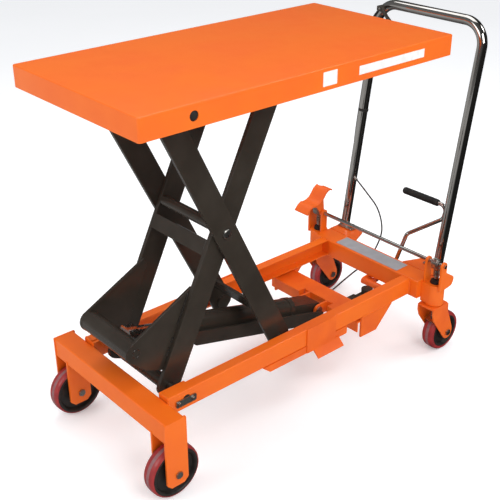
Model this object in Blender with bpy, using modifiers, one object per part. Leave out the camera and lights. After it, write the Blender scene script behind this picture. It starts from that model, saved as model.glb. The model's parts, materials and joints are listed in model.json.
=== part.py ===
"""Mobile scissor lift table: a hydraulic lifting platform on a four-wheeled cart.

Metres, +Z up, +X from the front beam to the push handle. "Near" pieces are on the -Y side.
The table stands with its platform fully raised. Each piece is one named object, and each
piece that moves hangs from an empty that lies on the axis of its joint.
"""

import math

import bmesh
import bpy
from mathutils import Vector

# --- Driving dimensions -------------------------------------------------------------------
GAP = 0.0003                    # left between pieces that touch
RUNNING = 0.0005                # radial clearance of a pin in its hole

PLATFORM_LENGTH = 1.010
PLATFORM_WIDTH = 0.520
PLATFORM_CORNER = 0.007
SKIRT_DEPTH = 0.055
SHEET = 0.003
ACCESS_HOLE_RADIUS = 0.012

LOWERED_HEIGHT = 0.442          # top of the platform at the bottom of its travel
RAISED_ANGLE = math.radians(63.97)
PIVOT_INSET = 0.1415            # front edge of the platform to the fixed pivots
ROLLER_END_INSET = 0.035        # rear edge of the platform to the rollers, fully lowered
PLATFORM_PIVOT_DROP = 0.0275    # top of the platform to the pivots below it

ARM_WIDTH = 0.068
ARM_THICKNESS = 0.012
ARM_GAP = 0.002                 # between an inner arm and the outer arm beside it
ARM_END = 0.027                 # from the roller's axis to the end of its arm
ARM_CORNER = 0.022

RAIL_INSET = 0.069              # side of the platform to the outer face of a rail
RAIL_DEPTH = 0.031
RAIL_BOTTOM = 0.201
RAIL_HEIGHT = 0.055
RAIL_WALL = 0.004
RAIL_BEND = 0.0035
ROLLER_CLEARANCE = 0.0015
ROLLER_WIDTH = 0.020
GUIDE_WALL = 0.004
GUIDE_INSET = 0.084             # side of the platform to the outer face of a guide
GUIDE_DEPTH = 0.035

FRONT_WHEEL_RADIUS = 0.075
FRONT_WHEEL_WIDTH = 0.042
LEG_THICKNESS = 0.006
LEG_SPACING = 0.063             # from the outer face of one leg plate to the other's
LEG_BELOW_AXLE = 0.032
AXLE_RADIUS = 0.006

CASTER_RADIUS = 0.0655
CASTER_WIDTH = 0.042
CASTER_TRAIL = 0.046            # kingpin to axle
CASTER_PLATE = 0.005
CASTER_PLATE_SPACING = 0.057
HOUSING_RADIUS = 0.029
KINGPIN_RADIUS = 0.010
PLUNGER_RADIUS = 0.005

BEAM_FRONT_DEPTH = 0.060
BEAM_FRONT_HEIGHT = 0.059
BEAM_REAR_DEPTH = 0.070
BEAM_REAR_HEIGHT = 0.060

RAM_REACH = 0.6255              # base pivot to the ram's rear pin, along X
RAM_PIN_HEIGHT = 0.172
RAM_BAR_ALONG = 0.0814          # the ram bar's place on the inner arms
RAM_BAR_ABOVE = 0.1373
RAM_BAR_RADIUS = 0.030
CYLINDER_RADIUS = 0.032
ROD_RADIUS = 0.0175
CYLINDER_START = 0.100          # along the ram, from its rear pin
CYLINDER_END = 0.540
SADDLE_GAP = 0.0105             # open joint between the rod's saddle and the ram bar

SHAFT_RADIUS = 0.0125
PIN_RADIUS = 0.010
BRAKE_SHAFT_RADIUS = 0.006
BRAKE_CAM_RADIUS = 0.015

HANDLE_RADIUS = 0.015
HANDLE_TOP = 1.003
HANDLE_BEND = 0.070
HANDLE_INSET = 0.060            # side of the platform to the handle's upright
HANDLE_LEAN = 0.1495            # metres back for each metre up
HANDLE_FOOT_BACK = 0.1224       # rear edge of the platform to the middle of the foot

# --- Sizes worked out from them ------------------------------------------------------------
HALF_LENGTH = PLATFORM_LENGTH / 2
HALF_WIDTH = PLATFORM_WIDTH / 2
RAIL_TOP = RAIL_BOTTOM + RAIL_HEIGHT
PIVOT_X = -HALF_LENGTH + PIVOT_INSET
PIVOT_Z = RAIL_BOTTOM + RAIL_HEIGHT / 2
ROLLER_RADIUS = RAIL_HEIGHT / 2 - RAIL_WALL - ROLLER_CLEARANCE

LOWERED_REACH = HALF_LENGTH - ROLLER_END_INSET - PIVOT_X
LOWERED_RISE = LOWERED_HEIGHT - PLATFORM_PIVOT_DROP - PIVOT_Z
ARM_LENGTH = math.hypot(LOWERED_REACH, LOWERED_RISE)
LOWERED_ANGLE = math.asin(LOWERED_RISE / ARM_LENGTH)
RAISED_RISE = ARM_LENGTH * math.sin(RAISED_ANGLE)
PLATFORM_PIVOT_Z = PIVOT_Z + RAISED_RISE
PLATFORM_TOP = PLATFORM_PIVOT_Z + PLATFORM_PIVOT_DROP

RAIL_FACE = HALF_WIDTH - RAIL_INSET
RAIL_EDGE = RAIL_FACE - RAIL_DEPTH
GUIDE_FACE = HALF_WIDTH - GUIDE_INSET
OUTER_ARM = RAIL_EDGE - 0.027   # outer face of an outer arm
OUTER_ARM_BACK = OUTER_ARM - ARM_THICKNESS
INNER_ARM = OUTER_ARM_BACK - ARM_GAP
INNER_ARM_BACK = INNER_ARM - ARM_THICKNESS

BEAM_FRONT_X = -HALF_LENGTH + 0.023
BEAM_FRONT_BACK = BEAM_FRONT_X + BEAM_FRONT_DEPTH
BEAM_FRONT_Z = 0.184
BEAM_REAR_X = HALF_LENGTH
BEAM_REAR_BACK = BEAM_REAR_X + BEAM_REAR_DEPTH
BEAM_REAR_Z = 0.196
BEAM_REAR_TOP = BEAM_REAR_Z + BEAM_REAR_HEIGHT
RAIL_FRONT = BEAM_FRONT_BACK + GAP
RAIL_REAR = BEAM_REAR_X - GAP

FRONT_AXLE_X = BEAM_FRONT_X + 0.034
FRONT_WHEEL_Y = HALF_WIDTH - LEG_SPACING / 2
KINGPIN_X = BEAM_REAR_X + 0.048
KINGPIN_Y = HALF_WIDTH - 0.0075
CHEEK_FACE = KINGPIN_Y - 0.032  # inner end of a caster housing, where the rear beam meets it
FORK_TOP = 0.179
HOUSING_BOTTOM = FORK_TOP + 0.002
HOUSING_TOP = 0.250
BRAKE_SHAFT_X = KINGPIN_X - 0.008
BRAKE_SHAFT_Z = HOUSING_TOP + 0.0705

RAM_PIN_X = PIVOT_X + RAM_REACH
CHANNEL_X = RAM_PIN_X + 0.013
CHANNEL_BACK = CHANNEL_X + 0.085
CHANNEL_TOP = 0.190
CHANNEL_BOTTOM = 0.155
CHANNEL_NOTCH = 0.028           # how far the notch for the ram cuts into the channel
NOTCH_HALF_WIDTH = 0.062

PUMP_PIVOT_X = BEAM_REAR_X - 0.015
PUMP_PIVOT_Z = 0.183
PUMP_Y = -0.085
PISTON_X = CHANNEL_BACK + 0.070
PISTON_RADIUS = 0.007
PISTON_FOOT = 0.1485            # height of the piston's foot above the lever's tip, at rest
BARREL_BOTTOM = 0.1725          # clear of the foot at the top of its stroke

HANDLE_Y = HALF_WIDTH - HANDLE_INSET
HANDLE_FOOT_X = BEAM_REAR_X + HANDLE_FOOT_BACK
HANDLE_FOOT_Z = BEAM_REAR_TOP + GAP
HANDLE_BACK = HANDLE_FOOT_X + HANDLE_LEAN * (HANDLE_TOP - HANDLE_FOOT_Z)
FOREMOST = min(-HALF_LENGTH, FRONT_AXLE_X - FRONT_WHEEL_RADIUS)
ORIGIN_SHIFT = -(FOREMOST + HANDLE_BACK + HANDLE_RADIUS) / 2   # the origin is below the middle

SIDES = (("near", -1), ("far", 1))


# --- Scene and materials --------------------------------------------------------------------
def clear_scene():
    """Removes every object and collection that the scene starts with."""
    for old in list(bpy.data.objects):
        bpy.data.objects.remove(old, do_unlink=True)
    for old in list(bpy.data.collections):
        bpy.data.collections.remove(old)


def new_collection(name):
    collection = bpy.data.collections.new(name)
    bpy.context.scene.collection.children.link(collection)
    return collection


def paint(name, colour, roughness, metallic):
    """A Principled material; colour is linear RGB."""
    material = bpy.data.materials.new(name)
    material.use_nodes = True
    shader = material.node_tree.nodes["Principled BSDF"]
    shader.inputs["Base Color"].default_value = (*colour, 1.0)
    shader.inputs["Roughness"].default_value = roughness
    shader.inputs["Metallic"].default_value = metallic
    material.diffuse_color = (*colour, 1.0)
    return material


clear_scene()
PARTS = new_collection("scissor_lift_table")
CUTTERS = new_collection("cutters")
CUTTERS.hide_render = True

ORANGE = paint("orange_enamel", (0.90, 0.17, 0.025), 0.30, 0.0)
BLACK = paint("black_enamel", (0.030, 0.026, 0.022), 0.25, 0.0)
CHROME = paint("chrome_tube", (0.62, 0.61, 0.60), 0.12, 1.0)
ZINC = paint("zinc_plate", (0.55, 0.54, 0.50), 0.35, 1.0)
STEEL = paint("bright_steel", (0.50, 0.50, 0.50), 0.30, 1.0)
TREAD = paint("red_polyurethane", (0.28, 0.035, 0.035), 0.40, 0.0)
RUBBER = paint("black_rubber", (0.012, 0.012, 0.012), 0.70, 0.0)
GREY = paint("grey_plate", (0.42, 0.43, 0.44), 0.45, 0.0)


# --- Shapes ----------------------------------------------------------------------------------
def arc(x, y, radius, start, end, steps=6):
    """Points on an arc about (x, y), between two angles in degrees."""
    turns = [math.radians(start + (end - start) * i / steps) for i in range(steps + 1)]
    return [(x + radius * math.cos(turn), y + radius * math.sin(turn)) for turn in turns]


def rounded(corners, steps=3):
    """A closed outline from corners (x, y, fillet radius), with each fillet as an arc."""
    outline = []
    for i, (x, y, radius) in enumerate(corners):
        if radius == 0:
            outline.append((x, y))
            continue
        here = Vector((x, y))
        before = (Vector(corners[i - 1][:2]) - here).normalized()
        after = (Vector(corners[(i + 1) % len(corners)][:2]) - here).normalized()
        half = before.angle(after) / 2
        centre = here + (before + after).normalized() * (radius / math.sin(half))
        first = here + before * (radius / math.tan(half)) - centre
        last = here + after * (radius / math.tan(half)) - centre
        sweep = first.angle_signed(last)
        start = math.atan2(first.y, first.x)
        for k in range(steps + 1):
            turn = start - sweep * k / steps
            outline.append((centre.x + radius * math.cos(turn), centre.y + radius * math.sin(turn)))
    return outline


def rectangle(x, y, radius=0.0, steps=3):
    """A rectangle over the ranges x and y, with rounded corners."""
    (x0, x1), (y0, y1) = sorted(x), sorted(y)
    return rounded([(x0, y0, radius), (x1, y0, radius), (x1, y1, radius), (x0, y1, radius)], steps)


def circle(x, y, radius, sides=16):
    return arc(x, y, radius, 0, 360, sides)[:-1]


def as_object(mesh, location=(0, 0, 0), rotation=(0, 0, 0)):
    """An object for a finished mesh, smooth where its faces meet at a shallow angle."""
    mesh.shade_smooth()
    mesh.set_sharp_from_angle(angle=math.radians(35))
    shape = bpy.data.objects.new("shape", mesh)
    shape.location = location
    shape.rotation_euler = rotation
    CUTTERS.objects.link(shape)
    return shape


def mesh_of(curve, location=(0, 0, 0), rotation=(0, 0, 0)):
    """Turns a curve into a closed mesh object that can be cut or joined."""
    drawn = bpy.data.objects.new("drawn", curve)
    CUTTERS.objects.link(drawn)
    view = bpy.context.evaluated_depsgraph_get()
    mesh = bpy.data.meshes.new_from_object(drawn.evaluated_get(view))
    bm = bmesh.new()
    bm.from_mesh(mesh)
    bmesh.ops.remove_doubles(bm, verts=bm.verts, dist=0.00001)
    bmesh.ops.recalc_face_normals(bm, faces=bm.faces)
    bm.to_mesh(mesh)
    bm.free()
    bpy.data.objects.remove(drawn)
    return as_object(mesh, location, rotation)


def prism(outline, axis, start, end, holes=()):
    """A flat outline drawn across an axis and given thickness along it.

    The outline is (x, z) across Y, (y, z) across X and (x, y) across Z; holes are outlines too.
    """
    curve = bpy.data.curves.new("outline", "CURVE")
    curve.dimensions = "2D"
    curve.fill_mode = "BOTH"
    curve.extrude = abs(end - start) / 2
    for points in (outline, *holes):
        spline = curve.splines.new("POLY")
        spline.points.add(len(points) - 1)
        spline.use_cyclic_u = True
        for point, (u, v) in zip(spline.points, points):
            point.co = (u, v, 0, 1)
    middle = (start + end) / 2
    quarter = math.pi / 2
    location = {"X": (middle, 0, 0), "Y": (0, middle, 0), "Z": (0, 0, middle)}[axis]
    rotation = {"X": (quarter, 0, quarter), "Y": (quarter, 0, 0), "Z": (0, 0, 0)}[axis]
    return mesh_of(curve, location, rotation)


def box(x, y, z):
    """A block over three ranges."""
    sizes = [abs(high - low) for low, high in (x, y, z)]
    bm = bmesh.new()
    bmesh.ops.create_cube(bm, size=1.0)
    bmesh.ops.scale(bm, vec=sizes, verts=bm.verts)
    mesh = bpy.data.meshes.new("block")
    bm.to_mesh(mesh)
    bm.free()
    return as_object(mesh, [(low + high) / 2 for low, high in (x, y, z)])


def rod(radius, start, end, sides=16):
    """A round bar between two points; six sides make a hexagon head."""
    start, end = Vector(start), Vector(end)
    bm = bmesh.new()
    bmesh.ops.create_cone(
        bm, cap_ends=True, segments=sides, radius1=radius, radius2=radius, depth=(end - start).length,
    )
    mesh = bpy.data.meshes.new("bar")
    bm.to_mesh(mesh)
    bm.free()
    rotation = (end - start).to_track_quat("Z", "Y").to_euler()
    return as_object(mesh, (start + end) / 2, rotation)


def cross_rod(radius, x, z, y, sides=16):
    """A round bar along Y at (x, z), over the range y."""
    return rod(radius, (x, min(y), z), (x, max(y), z), sides)


def turned(profile, centre, steps=24):
    """A ring turned about Y; profile holds (radius, y), down the outer side and back inside."""
    mesh = bpy.data.meshes.new("turned")
    edges = [(i, (i + 1) % len(profile)) for i in range(len(profile))]
    mesh.from_pydata([(radius, 0, height) for radius, height in profile], edges, [])
    shape = bpy.data.objects.new("shape", mesh)
    shape.location = centre
    shape.rotation_euler = (-math.pi / 2, 0, 0)
    CUTTERS.objects.link(shape)
    screw = shape.modifiers.new("turn", "SCREW")
    screw.steps = screw.render_steps = steps
    screw.use_merge_vertices = True
    screw.merge_threshold = 0.0001
    screw.use_normal_calculate = True
    return shape


def swept(points, radius, resolution=2, smooth=False):
    """A tube along points; smooth runs a fine curve through them first."""
    route = through(points) if smooth else points
    curve = bpy.data.curves.new("route", "CURVE")
    curve.dimensions = "3D"
    curve.bevel_depth = radius
    curve.bevel_resolution = resolution
    curve.use_fill_caps = True
    spline = curve.splines.new("POLY")
    spline.points.add(len(route) - 1)
    for point, place in zip(spline.points, route):
        point.co = (*place, 1)
    return mesh_of(curve)


def through(points, steps=3):
    """A smooth route through points, by Catmull-Rom spans."""
    ends = [2 * Vector(points[0]) - Vector(points[1]), 2 * Vector(points[-1]) - Vector(points[-2])]
    knots = [ends[0], *map(Vector, points), ends[1]]
    route = []
    for p0, p1, p2, p3 in zip(knots, knots[1:], knots[2:], knots[3:]):
        for k in range(steps):
            t = k / steps
            route.append(0.5 * (
                2 * p1 + (p2 - p0) * t + (2 * p0 - 5 * p1 + 4 * p2 - p3) * t ** 2
                + (3 * p1 - p0 - 3 * p2 + p3) * t ** 3
            ))
    return [*route, Vector(points[-1])]


def bent(corners, radius, steps=6):
    """A route of straight runs through corners, with a round bend at each inner corner."""
    corners = [Vector(corner) for corner in corners]
    route = [corners[0]]
    for before, here, after in zip(corners, corners[1:], corners[2:]):
        back, ahead = (before - here).normalized(), (after - here).normalized()
        half = back.angle(ahead) / 2
        centre = here + (back + ahead).normalized() * (radius / math.sin(half))
        first = (here + back * (radius / math.tan(half)) - centre).normalized()
        last = (here + ahead * (radius / math.tan(half)) - centre).normalized()
        route += [centre + first.slerp(last, k / steps) * radius for k in range(steps + 1)]
    return [*route, corners[-1]]


def across(side, low, high):
    """The range of Y between two distances from the middle, on one side."""
    return tuple(sorted((side * low, side * high)))


# --- Assembly --------------------------------------------------------------------------------
def joint(name, parent, location, turn_y=0.0):
    """An empty on a joint's axis, turned about Y."""
    empty = bpy.data.objects.new(name, None)
    empty.empty_display_size = 0.05
    empty.parent = parent
    empty.location = location
    empty.rotation_euler = (0, turn_y, 0)
    PARTS.objects.link(empty)
    return empty


def node(name, shape, material, parent, add=(), cut=()):
    """Makes a shape a named piece under parent, with others joined to it and then cut away."""
    CUTTERS.objects.unlink(shape)
    PARTS.objects.link(shape)
    shape.name = shape.data.name = name
    shape.data.materials.append(material)
    shape.parent = parent
    for operation, others in (("UNION", add), ("DIFFERENCE", cut)):
        for other in others:
            other.name = f"{name}_{operation.lower()}"
            other.parent = parent
            other.hide_render = True
            other.display_type = "WIRE"
            boolean = shape.modifiers.new(operation.lower(), "BOOLEAN")
            boolean.operation = operation
            boolean.solver = "EXACT"
            boolean.object = other
    return shape


BASE = joint("chassis", None, (ORIGIN_SHIFT, 0, 0))


# --- Chassis ---------------------------------------------------------------------------------
def rail(side, s):
    """A C channel, open inwards, with a solid block where the fixed pivot shaft is held."""
    back = RAIL_FACE - RAIL_WALL
    low, high = RAIL_BOTTOM + RAIL_WALL, RAIL_TOP - RAIL_WALL
    outline = rounded([
        (s * RAIL_FACE, RAIL_BOTTOM, RAIL_BEND), (s * RAIL_FACE, RAIL_TOP, RAIL_BEND),
        (s * RAIL_EDGE, RAIL_TOP, 0), (s * RAIL_EDGE, high, 0), (s * back, high, 0),
        (s * back, low, 0), (s * RAIL_EDGE, low, 0), (s * RAIL_EDGE, RAIL_BOTTOM, 0),
    ])
    block = box(
        (RAIL_FRONT + 0.001, PIVOT_X + 0.022), across(s, RAIL_EDGE - 0.010, back + 0.001),
        (low - 0.001, high + 0.001),
    )
    bore = cross_rod(SHAFT_RADIUS + RUNNING, PIVOT_X, PIVOT_Z, across(s, 0.1, 0.3))
    channel = prism(outline, "X", RAIL_FRONT, RAIL_REAR)
    node(f"rail_{side}", channel, ORANGE, BASE, add=[block], cut=[bore])


def shaft_keeper(side, s):
    """The zinc plate with two hexagon heads that locks the pivot shaft on a rail's face."""
    middle = PIVOT_X - 0.0035
    plate = prism(
        rectangle((middle - 0.032, middle + 0.032), (PIVOT_Z - 0.0125, PIVOT_Z + 0.0075), 0.004),
        "Y", *across(s, RAIL_FACE + GAP, RAIL_FACE + 0.004),
    )
    heads = [
        cross_rod(
            0.0065, middle + shift, PIVOT_Z - 0.0025, across(s, RAIL_FACE + 0.003, RAIL_FACE + 0.009), 6,
        )
        for shift in (-0.0215, 0.0215)
    ]
    node(f"shaft_keeper_{side}", plate, ZINC, BASE, add=heads)


def side_bracket(side, s):
    """The welded stiffener under a rail: a lip, a plate on the rail's face and a bent-out tab."""
    start, step = -0.104, RAM_PIN_X - 0.202
    lip = prism(
        rounded([
            (start, RAIL_BOTTOM - GAP, 0), (start + 0.026, RAIL_BOTTOM - 0.022, 0.006),
            (step + 0.166, RAIL_BOTTOM - 0.025, 0.004), (step + 0.166, RAIL_BOTTOM - GAP, 0),
        ]),
        "Y", *across(s, RAIL_FACE - RAIL_WALL, RAIL_FACE + 0.0012),
    )
    plate = prism(
        rectangle((step, step + 0.115), (RAIL_BOTTOM - 0.023, RAIL_TOP + 0.002), 0.003),
        "Y", *across(s, RAIL_FACE + GAP, RAIL_FACE + 0.004),
    )
    low = RAIL_BOTTOM - 0.044
    tab = prism(
        [
            (s * (RAIL_FACE + GAP), RAIL_BOTTOM - 0.018), (s * (RAIL_FACE + 0.004), RAIL_BOTTOM - 0.018),
            (s * (RAIL_FACE + 0.005), RAIL_BOTTOM - 0.023), (s * (RAIL_FACE + 0.024), low + 0.003),
            (s * (RAIL_FACE + 0.022), low), (s * (RAIL_FACE + 0.002), RAIL_BOTTOM - 0.027),
        ],
        "X", step + 0.028, step + 0.131,
    )
    node(f"side_bracket_{side}", lip, ORANGE, BASE, add=[plate, tab])


def front_beam():
    """The front cross beam with a pair of leg plates at each end for the fixed wheels."""
    top = BEAM_FRONT_Z + BEAM_FRONT_HEIGHT
    inner = HALF_WIDTH - LEG_SPACING + LEG_THICKNESS
    beam = prism(
        rectangle((BEAM_FRONT_X, BEAM_FRONT_BACK), (BEAM_FRONT_Z, top), 0.004),
        "Y", -HALF_WIDTH + 0.0015, HALF_WIDTH - 0.0015,
    )
    foot = FRONT_WHEEL_RADIUS - LEG_BELOW_AXLE
    left, right = BEAM_FRONT_X - 0.002, BEAM_FRONT_BACK + 0.004
    bore = circle(FRONT_AXLE_X, FRONT_WHEEL_RADIUS, AXLE_RADIUS + GAP, 16)
    legs = []
    for _, s in SIDES:
        for high, (low_y, high_y) in (
            (top + 0.0005, (HALF_WIDTH - LEG_THICKNESS, HALF_WIDTH)),
            (BEAM_FRONT_Z + 0.010, (inner - LEG_THICKNESS, inner)),
        ):
            outline = rounded([
                (left, high, 0.002), (right, high, 0.002), (right, foot + 0.013, 0.004),
                (right - 0.013, foot, 0.004), (left + 0.013, foot, 0.004), (left, foot + 0.013, 0.004),
            ], 2)
            legs.append(prism(outline, "Y", *across(s, low_y, high_y), holes=[bore]))
    node("front_beam", beam, ORANGE, BASE, add=legs)


def mid_channel():
    """The cross channel that carries the ram, with a notch for it and a plate at each end."""
    reach = RAIL_FACE - 0.003
    wall = RAIL_WALL
    outline = [
        (CHANNEL_X, CHANNEL_BOTTOM), (CHANNEL_X + wall, CHANNEL_BOTTOM),
        (CHANNEL_X + wall, CHANNEL_TOP - wall), (CHANNEL_BACK - wall, CHANNEL_TOP - wall),
        (CHANNEL_BACK - wall, CHANNEL_BOTTOM), (CHANNEL_BACK, CHANNEL_BOTTOM),
        (CHANNEL_BACK, CHANNEL_TOP), (CHANNEL_X, CHANNEL_TOP),
    ]
    channel = prism(outline, "Y", -reach, reach)
    notch = box(
        (CHANNEL_X - 0.01, CHANNEL_X + CHANNEL_NOTCH), (-NOTCH_HALF_WIDTH, NOTCH_HALF_WIDTH),
        (CHANNEL_BOTTOM - 0.01, CHANNEL_TOP + 0.01),
    )
    end_outline = [
        (CHANNEL_X + 0.015, RAIL_BOTTOM - GAP), (CHANNEL_X + 0.015, 0.133), (CHANNEL_BACK, 0.132),
        (CHANNEL_BACK + 0.008, 0.141), (CHANNEL_BACK + 0.066, RAIL_BOTTOM - GAP),
    ]
    side_cheek = [
        (CHANNEL_X + 0.001, CHANNEL_TOP - 0.001), (CHANNEL_X + 0.001, CHANNEL_BOTTOM + 0.001),
        (CHANNEL_X + CHANNEL_NOTCH + 0.02, CHANNEL_BOTTOM + 0.001),
        (CHANNEL_X + CHANNEL_NOTCH + 0.02, CHANNEL_TOP - 0.001),
    ]
    pieces = []
    for _, s in SIDES:
        pieces.append(prism(end_outline, "Y", *across(s, RAIL_FACE - 0.006, RAIL_FACE)))
        pieces.append(prism(side_cheek, "Y", *across(s, NOTCH_HALF_WIDTH + GAP, NOTCH_HALF_WIDTH + wall)))
    node("mid_channel", channel, ORANGE, BASE, add=pieces, cut=[notch])


def ram_anchor():
    """The two lugs in the notch that hold the ram's rear pin, and the pin itself."""
    back = CHANNEL_X + CHANNEL_NOTCH - GAP
    reach = NOTCH_HALF_WIDTH - 0.004
    base = box((back - 0.004, back), (-reach, reach), (0.150, CHANNEL_TOP))
    bore = circle(RAM_PIN_X, RAM_PIN_HEIGHT, 0.008 + RUNNING, 16)
    outline = [
        (back - 0.001, 0.153), (back - 0.001, 0.189), *arc(RAM_PIN_X, RAM_PIN_HEIGHT, 0.017, 90, 270, 8),
    ]
    lugs = [prism(outline, "Y", *across(s, 0.034, 0.041), holes=[bore]) for _, s in SIDES]
    node("ram_anchor_bracket", base, ORANGE, BASE, add=lugs)
    heads = [cross_rod(0.012, RAM_PIN_X, RAM_PIN_HEIGHT, across(s, 0.0415, 0.0455), 16) for _, s in SIDES]
    pin = cross_rod(0.008, RAM_PIN_X, RAM_PIN_HEIGHT, (-0.044, 0.044), 16)
    node("ram_anchor_pin", pin, ZINC, BASE, add=heads)


def rear_beam():
    """The rear cross beam between the caster housings, with the pump lever's lugs below it."""
    beam = prism(
        rectangle((BEAM_REAR_X, BEAM_REAR_BACK), (BEAM_REAR_Z, BEAM_REAR_TOP), 0.004),
        "Y", -CHEEK_FACE + GAP, CHEEK_FACE - GAP,
    )
    outline = [
        (BEAM_REAR_X + 0.045, BEAM_REAR_Z + 0.001), (BEAM_REAR_X + 0.003, BEAM_REAR_Z + 0.001),
        *arc(PUMP_PIVOT_X, PUMP_PIVOT_Z, 0.012, 110, 270, 6), (BEAM_REAR_X + 0.020, PUMP_PIVOT_Z - 0.010),
    ]
    lugs = [prism(outline, "Y", y, y + 0.005) for y in (PUMP_Y - 0.020, PUMP_Y + 0.065)]
    pin = cross_rod(0.006, PUMP_PIVOT_X, PUMP_PIVOT_Z, (PUMP_Y - 0.024, PUMP_Y + 0.074), 16)
    node("rear_beam", beam, ORANGE, BASE, add=[*lugs, pin])


def name_plate():
    """The blank plate on top of the rear beam."""
    reach = HALF_WIDTH - 0.129
    plate = prism(
        rectangle((BEAM_REAR_X + 0.006, BEAM_REAR_X + 0.060), (-reach, reach), 0.002),
        "Z", BEAM_REAR_TOP + GAP, BEAM_REAR_TOP + 0.0013,
    )
    node("blank_plate", plate, GREY, BASE)


def front_wheel(side, s):
    """A fixed wheel: one bonded body of hub and tread, with its bolt through the leg plates."""
    place = (FRONT_AXLE_X, s * FRONT_WHEEL_Y, FRONT_WHEEL_RADIUS)
    node(f"front_wheel_{side}", wheel(FRONT_WHEEL_RADIUS, FRONT_WHEEL_WIDTH), TREAD,
         joint(f"front_wheel_joint_{side}", BASE, place))
    axle_bolt(f"front_axle_{side}", place[0], place[2], (
        HALF_WIDTH - LEG_SPACING, HALF_WIDTH), s, BASE)


def wheel(radius, width):
    """A wheel turned about its own axle, with a dished web and a hub that is wider than it."""
    half, hub = width / 2, width / 2 + 0.0015
    outer = [
        (radius - 0.004, half), (radius, half - 0.008), (radius, -half + 0.008), (radius - 0.004, -half),
    ]
    inner = radius - 0.016
    web = [(inner, -half), (inner - 0.005, -half + 0.010), (0.024, -half + 0.010), (0.019, -hub)]
    bore = AXLE_RADIUS + RUNNING
    back = [(0.019, hub), (0.024, half - 0.010), (inner - 0.005, half - 0.010), (inner, half)]
    return turned([*outer, *web, (bore, -hub), (bore, hub), *back], (0, 0, 0), 28)


def axle_bolt(name, x, z, faces, s, parent):
    """A bolt along Y with a hexagon head outside and a nut inside the two faces."""
    low, high = faces
    shank = cross_rod(AXLE_RADIUS, x, z, across(s, low - 0.004, high + 0.004), 16)
    head = cross_rod(0.0105, x, z, across(s, high + GAP, high + 0.006), 6)
    nut = cross_rod(0.0105, x, z, across(s, low - GAP, low - 0.006), 6)
    node(name, shank, ZINC, parent, add=[head, nut])


# --- Rear casters and brake --------------------------------------------------------------------
def caster_housing(side, s):
    """A kingpin housing with the two upright cheeks that carry the brake shaft."""
    y = s * KINGPIN_Y
    body = rod(HOUSING_RADIUS, (KINGPIN_X, y, HOUSING_BOTTOM), (KINGPIN_X, y, HOUSING_TOP), 36)
    neck = box((KINGPIN_X - 0.028, BEAM_REAR_BACK - 0.001), across(s, CHEEK_FACE, KINGPIN_Y),
               (HOUSING_BOTTOM + 0.004, HOUSING_TOP - 0.001))
    deck = box((BRAKE_SHAFT_X - 0.011, BRAKE_SHAFT_X + 0.016), across(s, KINGPIN_Y, KINGPIN_Y + 0.0320),
               (HOUSING_TOP - 0.012, HOUSING_TOP - 0.0015))
    hole = circle(BRAKE_SHAFT_X, BRAKE_SHAFT_Z, BRAKE_SHAFT_RADIUS + RUNNING, 16)
    crown = arc(BRAKE_SHAFT_X, BRAKE_SHAFT_Z, 0.013, 0, 180, 8)
    low = HOUSING_TOP - 0.013
    plain = [*crown, (BRAKE_SHAFT_X - 0.013, low), (BRAKE_SHAFT_X + 0.013, low)]
    lobe = rounded([
        (BRAKE_SHAFT_X + 0.013, low, 0), (BRAKE_SHAFT_X + 0.045, low + 0.004, 0.012),
        (BRAKE_SHAFT_X + 0.056, low + 0.030, 0.014), (BRAKE_SHAFT_X + 0.013, low + 0.058, 0),
    ])
    tall = [*crown, (BRAKE_SHAFT_X - 0.013, low), *lobe]
    cheeks = [
        prism(plain, "Y", *across(s, CHEEK_FACE + 0.0005, CHEEK_FACE + 0.0065), holes=[hole]),
        prism(tall, "Y", *across(s, KINGPIN_Y + 0.0265, KINGPIN_Y + 0.0325), holes=[hole]),
    ]
    bore = rod(KINGPIN_RADIUS + RUNNING, (KINGPIN_X, y, 0.15), (KINGPIN_X, y, 0.30))
    node(f"caster_housing_{side}", body, ORANGE, BASE, add=[neck, deck, *cheeks], cut=[bore])


def caster(side, s):
    """A swivel caster: the fork on its hollow kingpin, the wheel, its bolt and the brake plunger."""
    swivel = joint(f"caster_swivel_{side}", BASE, (KINGPIN_X, s * KINGPIN_Y, 0))
    axle = (CASTER_TRAIL, CASTER_RADIUS)
    half = CASTER_PLATE_SPACING / 2
    crown = prism(
        rectangle((-0.038, 0.035), (-half - CASTER_PLATE / 2, half + CASTER_PLATE / 2), 0.008),
        "Z", FORK_TOP - 0.006, FORK_TOP,
    )
    leg = [
        (-0.038, FORK_TOP - 0.002), (-0.038, FORK_TOP - 0.022), (-0.030, FORK_TOP - 0.045),
        (-0.006, FORK_TOP - 0.078), *arc(*axle, 0.0215, 205, 360, 7),
        (CASTER_TRAIL + 0.020, axle[1] + 0.014), (0.050, FORK_TOP - 0.060), (0.037, FORK_TOP - 0.030),
        (0.035, FORK_TOP - 0.002),
    ]
    bore = circle(*axle, AXLE_RADIUS + GAP, 16)
    legs = [
        prism(leg, "Y", t * half - CASTER_PLATE / 2, t * half + CASTER_PLATE / 2, holes=[bore])
        for t in (-1, 1)
    ]
    kingpin = rod(KINGPIN_RADIUS, (0, 0, FORK_TOP - 0.002), (0, 0, HOUSING_TOP - 0.004))
    collar = rod(0.016, (0, 0, FORK_TOP - 0.002), (0, 0, HOUSING_BOTTOM - GAP))
    hollow = rod(PLUNGER_RADIUS + RUNNING, (0, 0, 0.10), (0, 0, 0.30), 16)
    node(f"caster_fork_{side}", crown, ORANGE, swivel, add=[*legs, kingpin, collar], cut=[hollow])
    node(f"caster_wheel_{side}", wheel(CASTER_RADIUS, CASTER_WIDTH), TREAD,
         joint(f"caster_wheel_joint_{side}", swivel, (axle[0], 0, axle[1])))
    outer = half + CASTER_PLATE / 2
    axle_bolt(f"caster_axle_{side}", *axle, (-outer, outer), s, swivel)
    brake_plunger(side, swivel)


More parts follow.
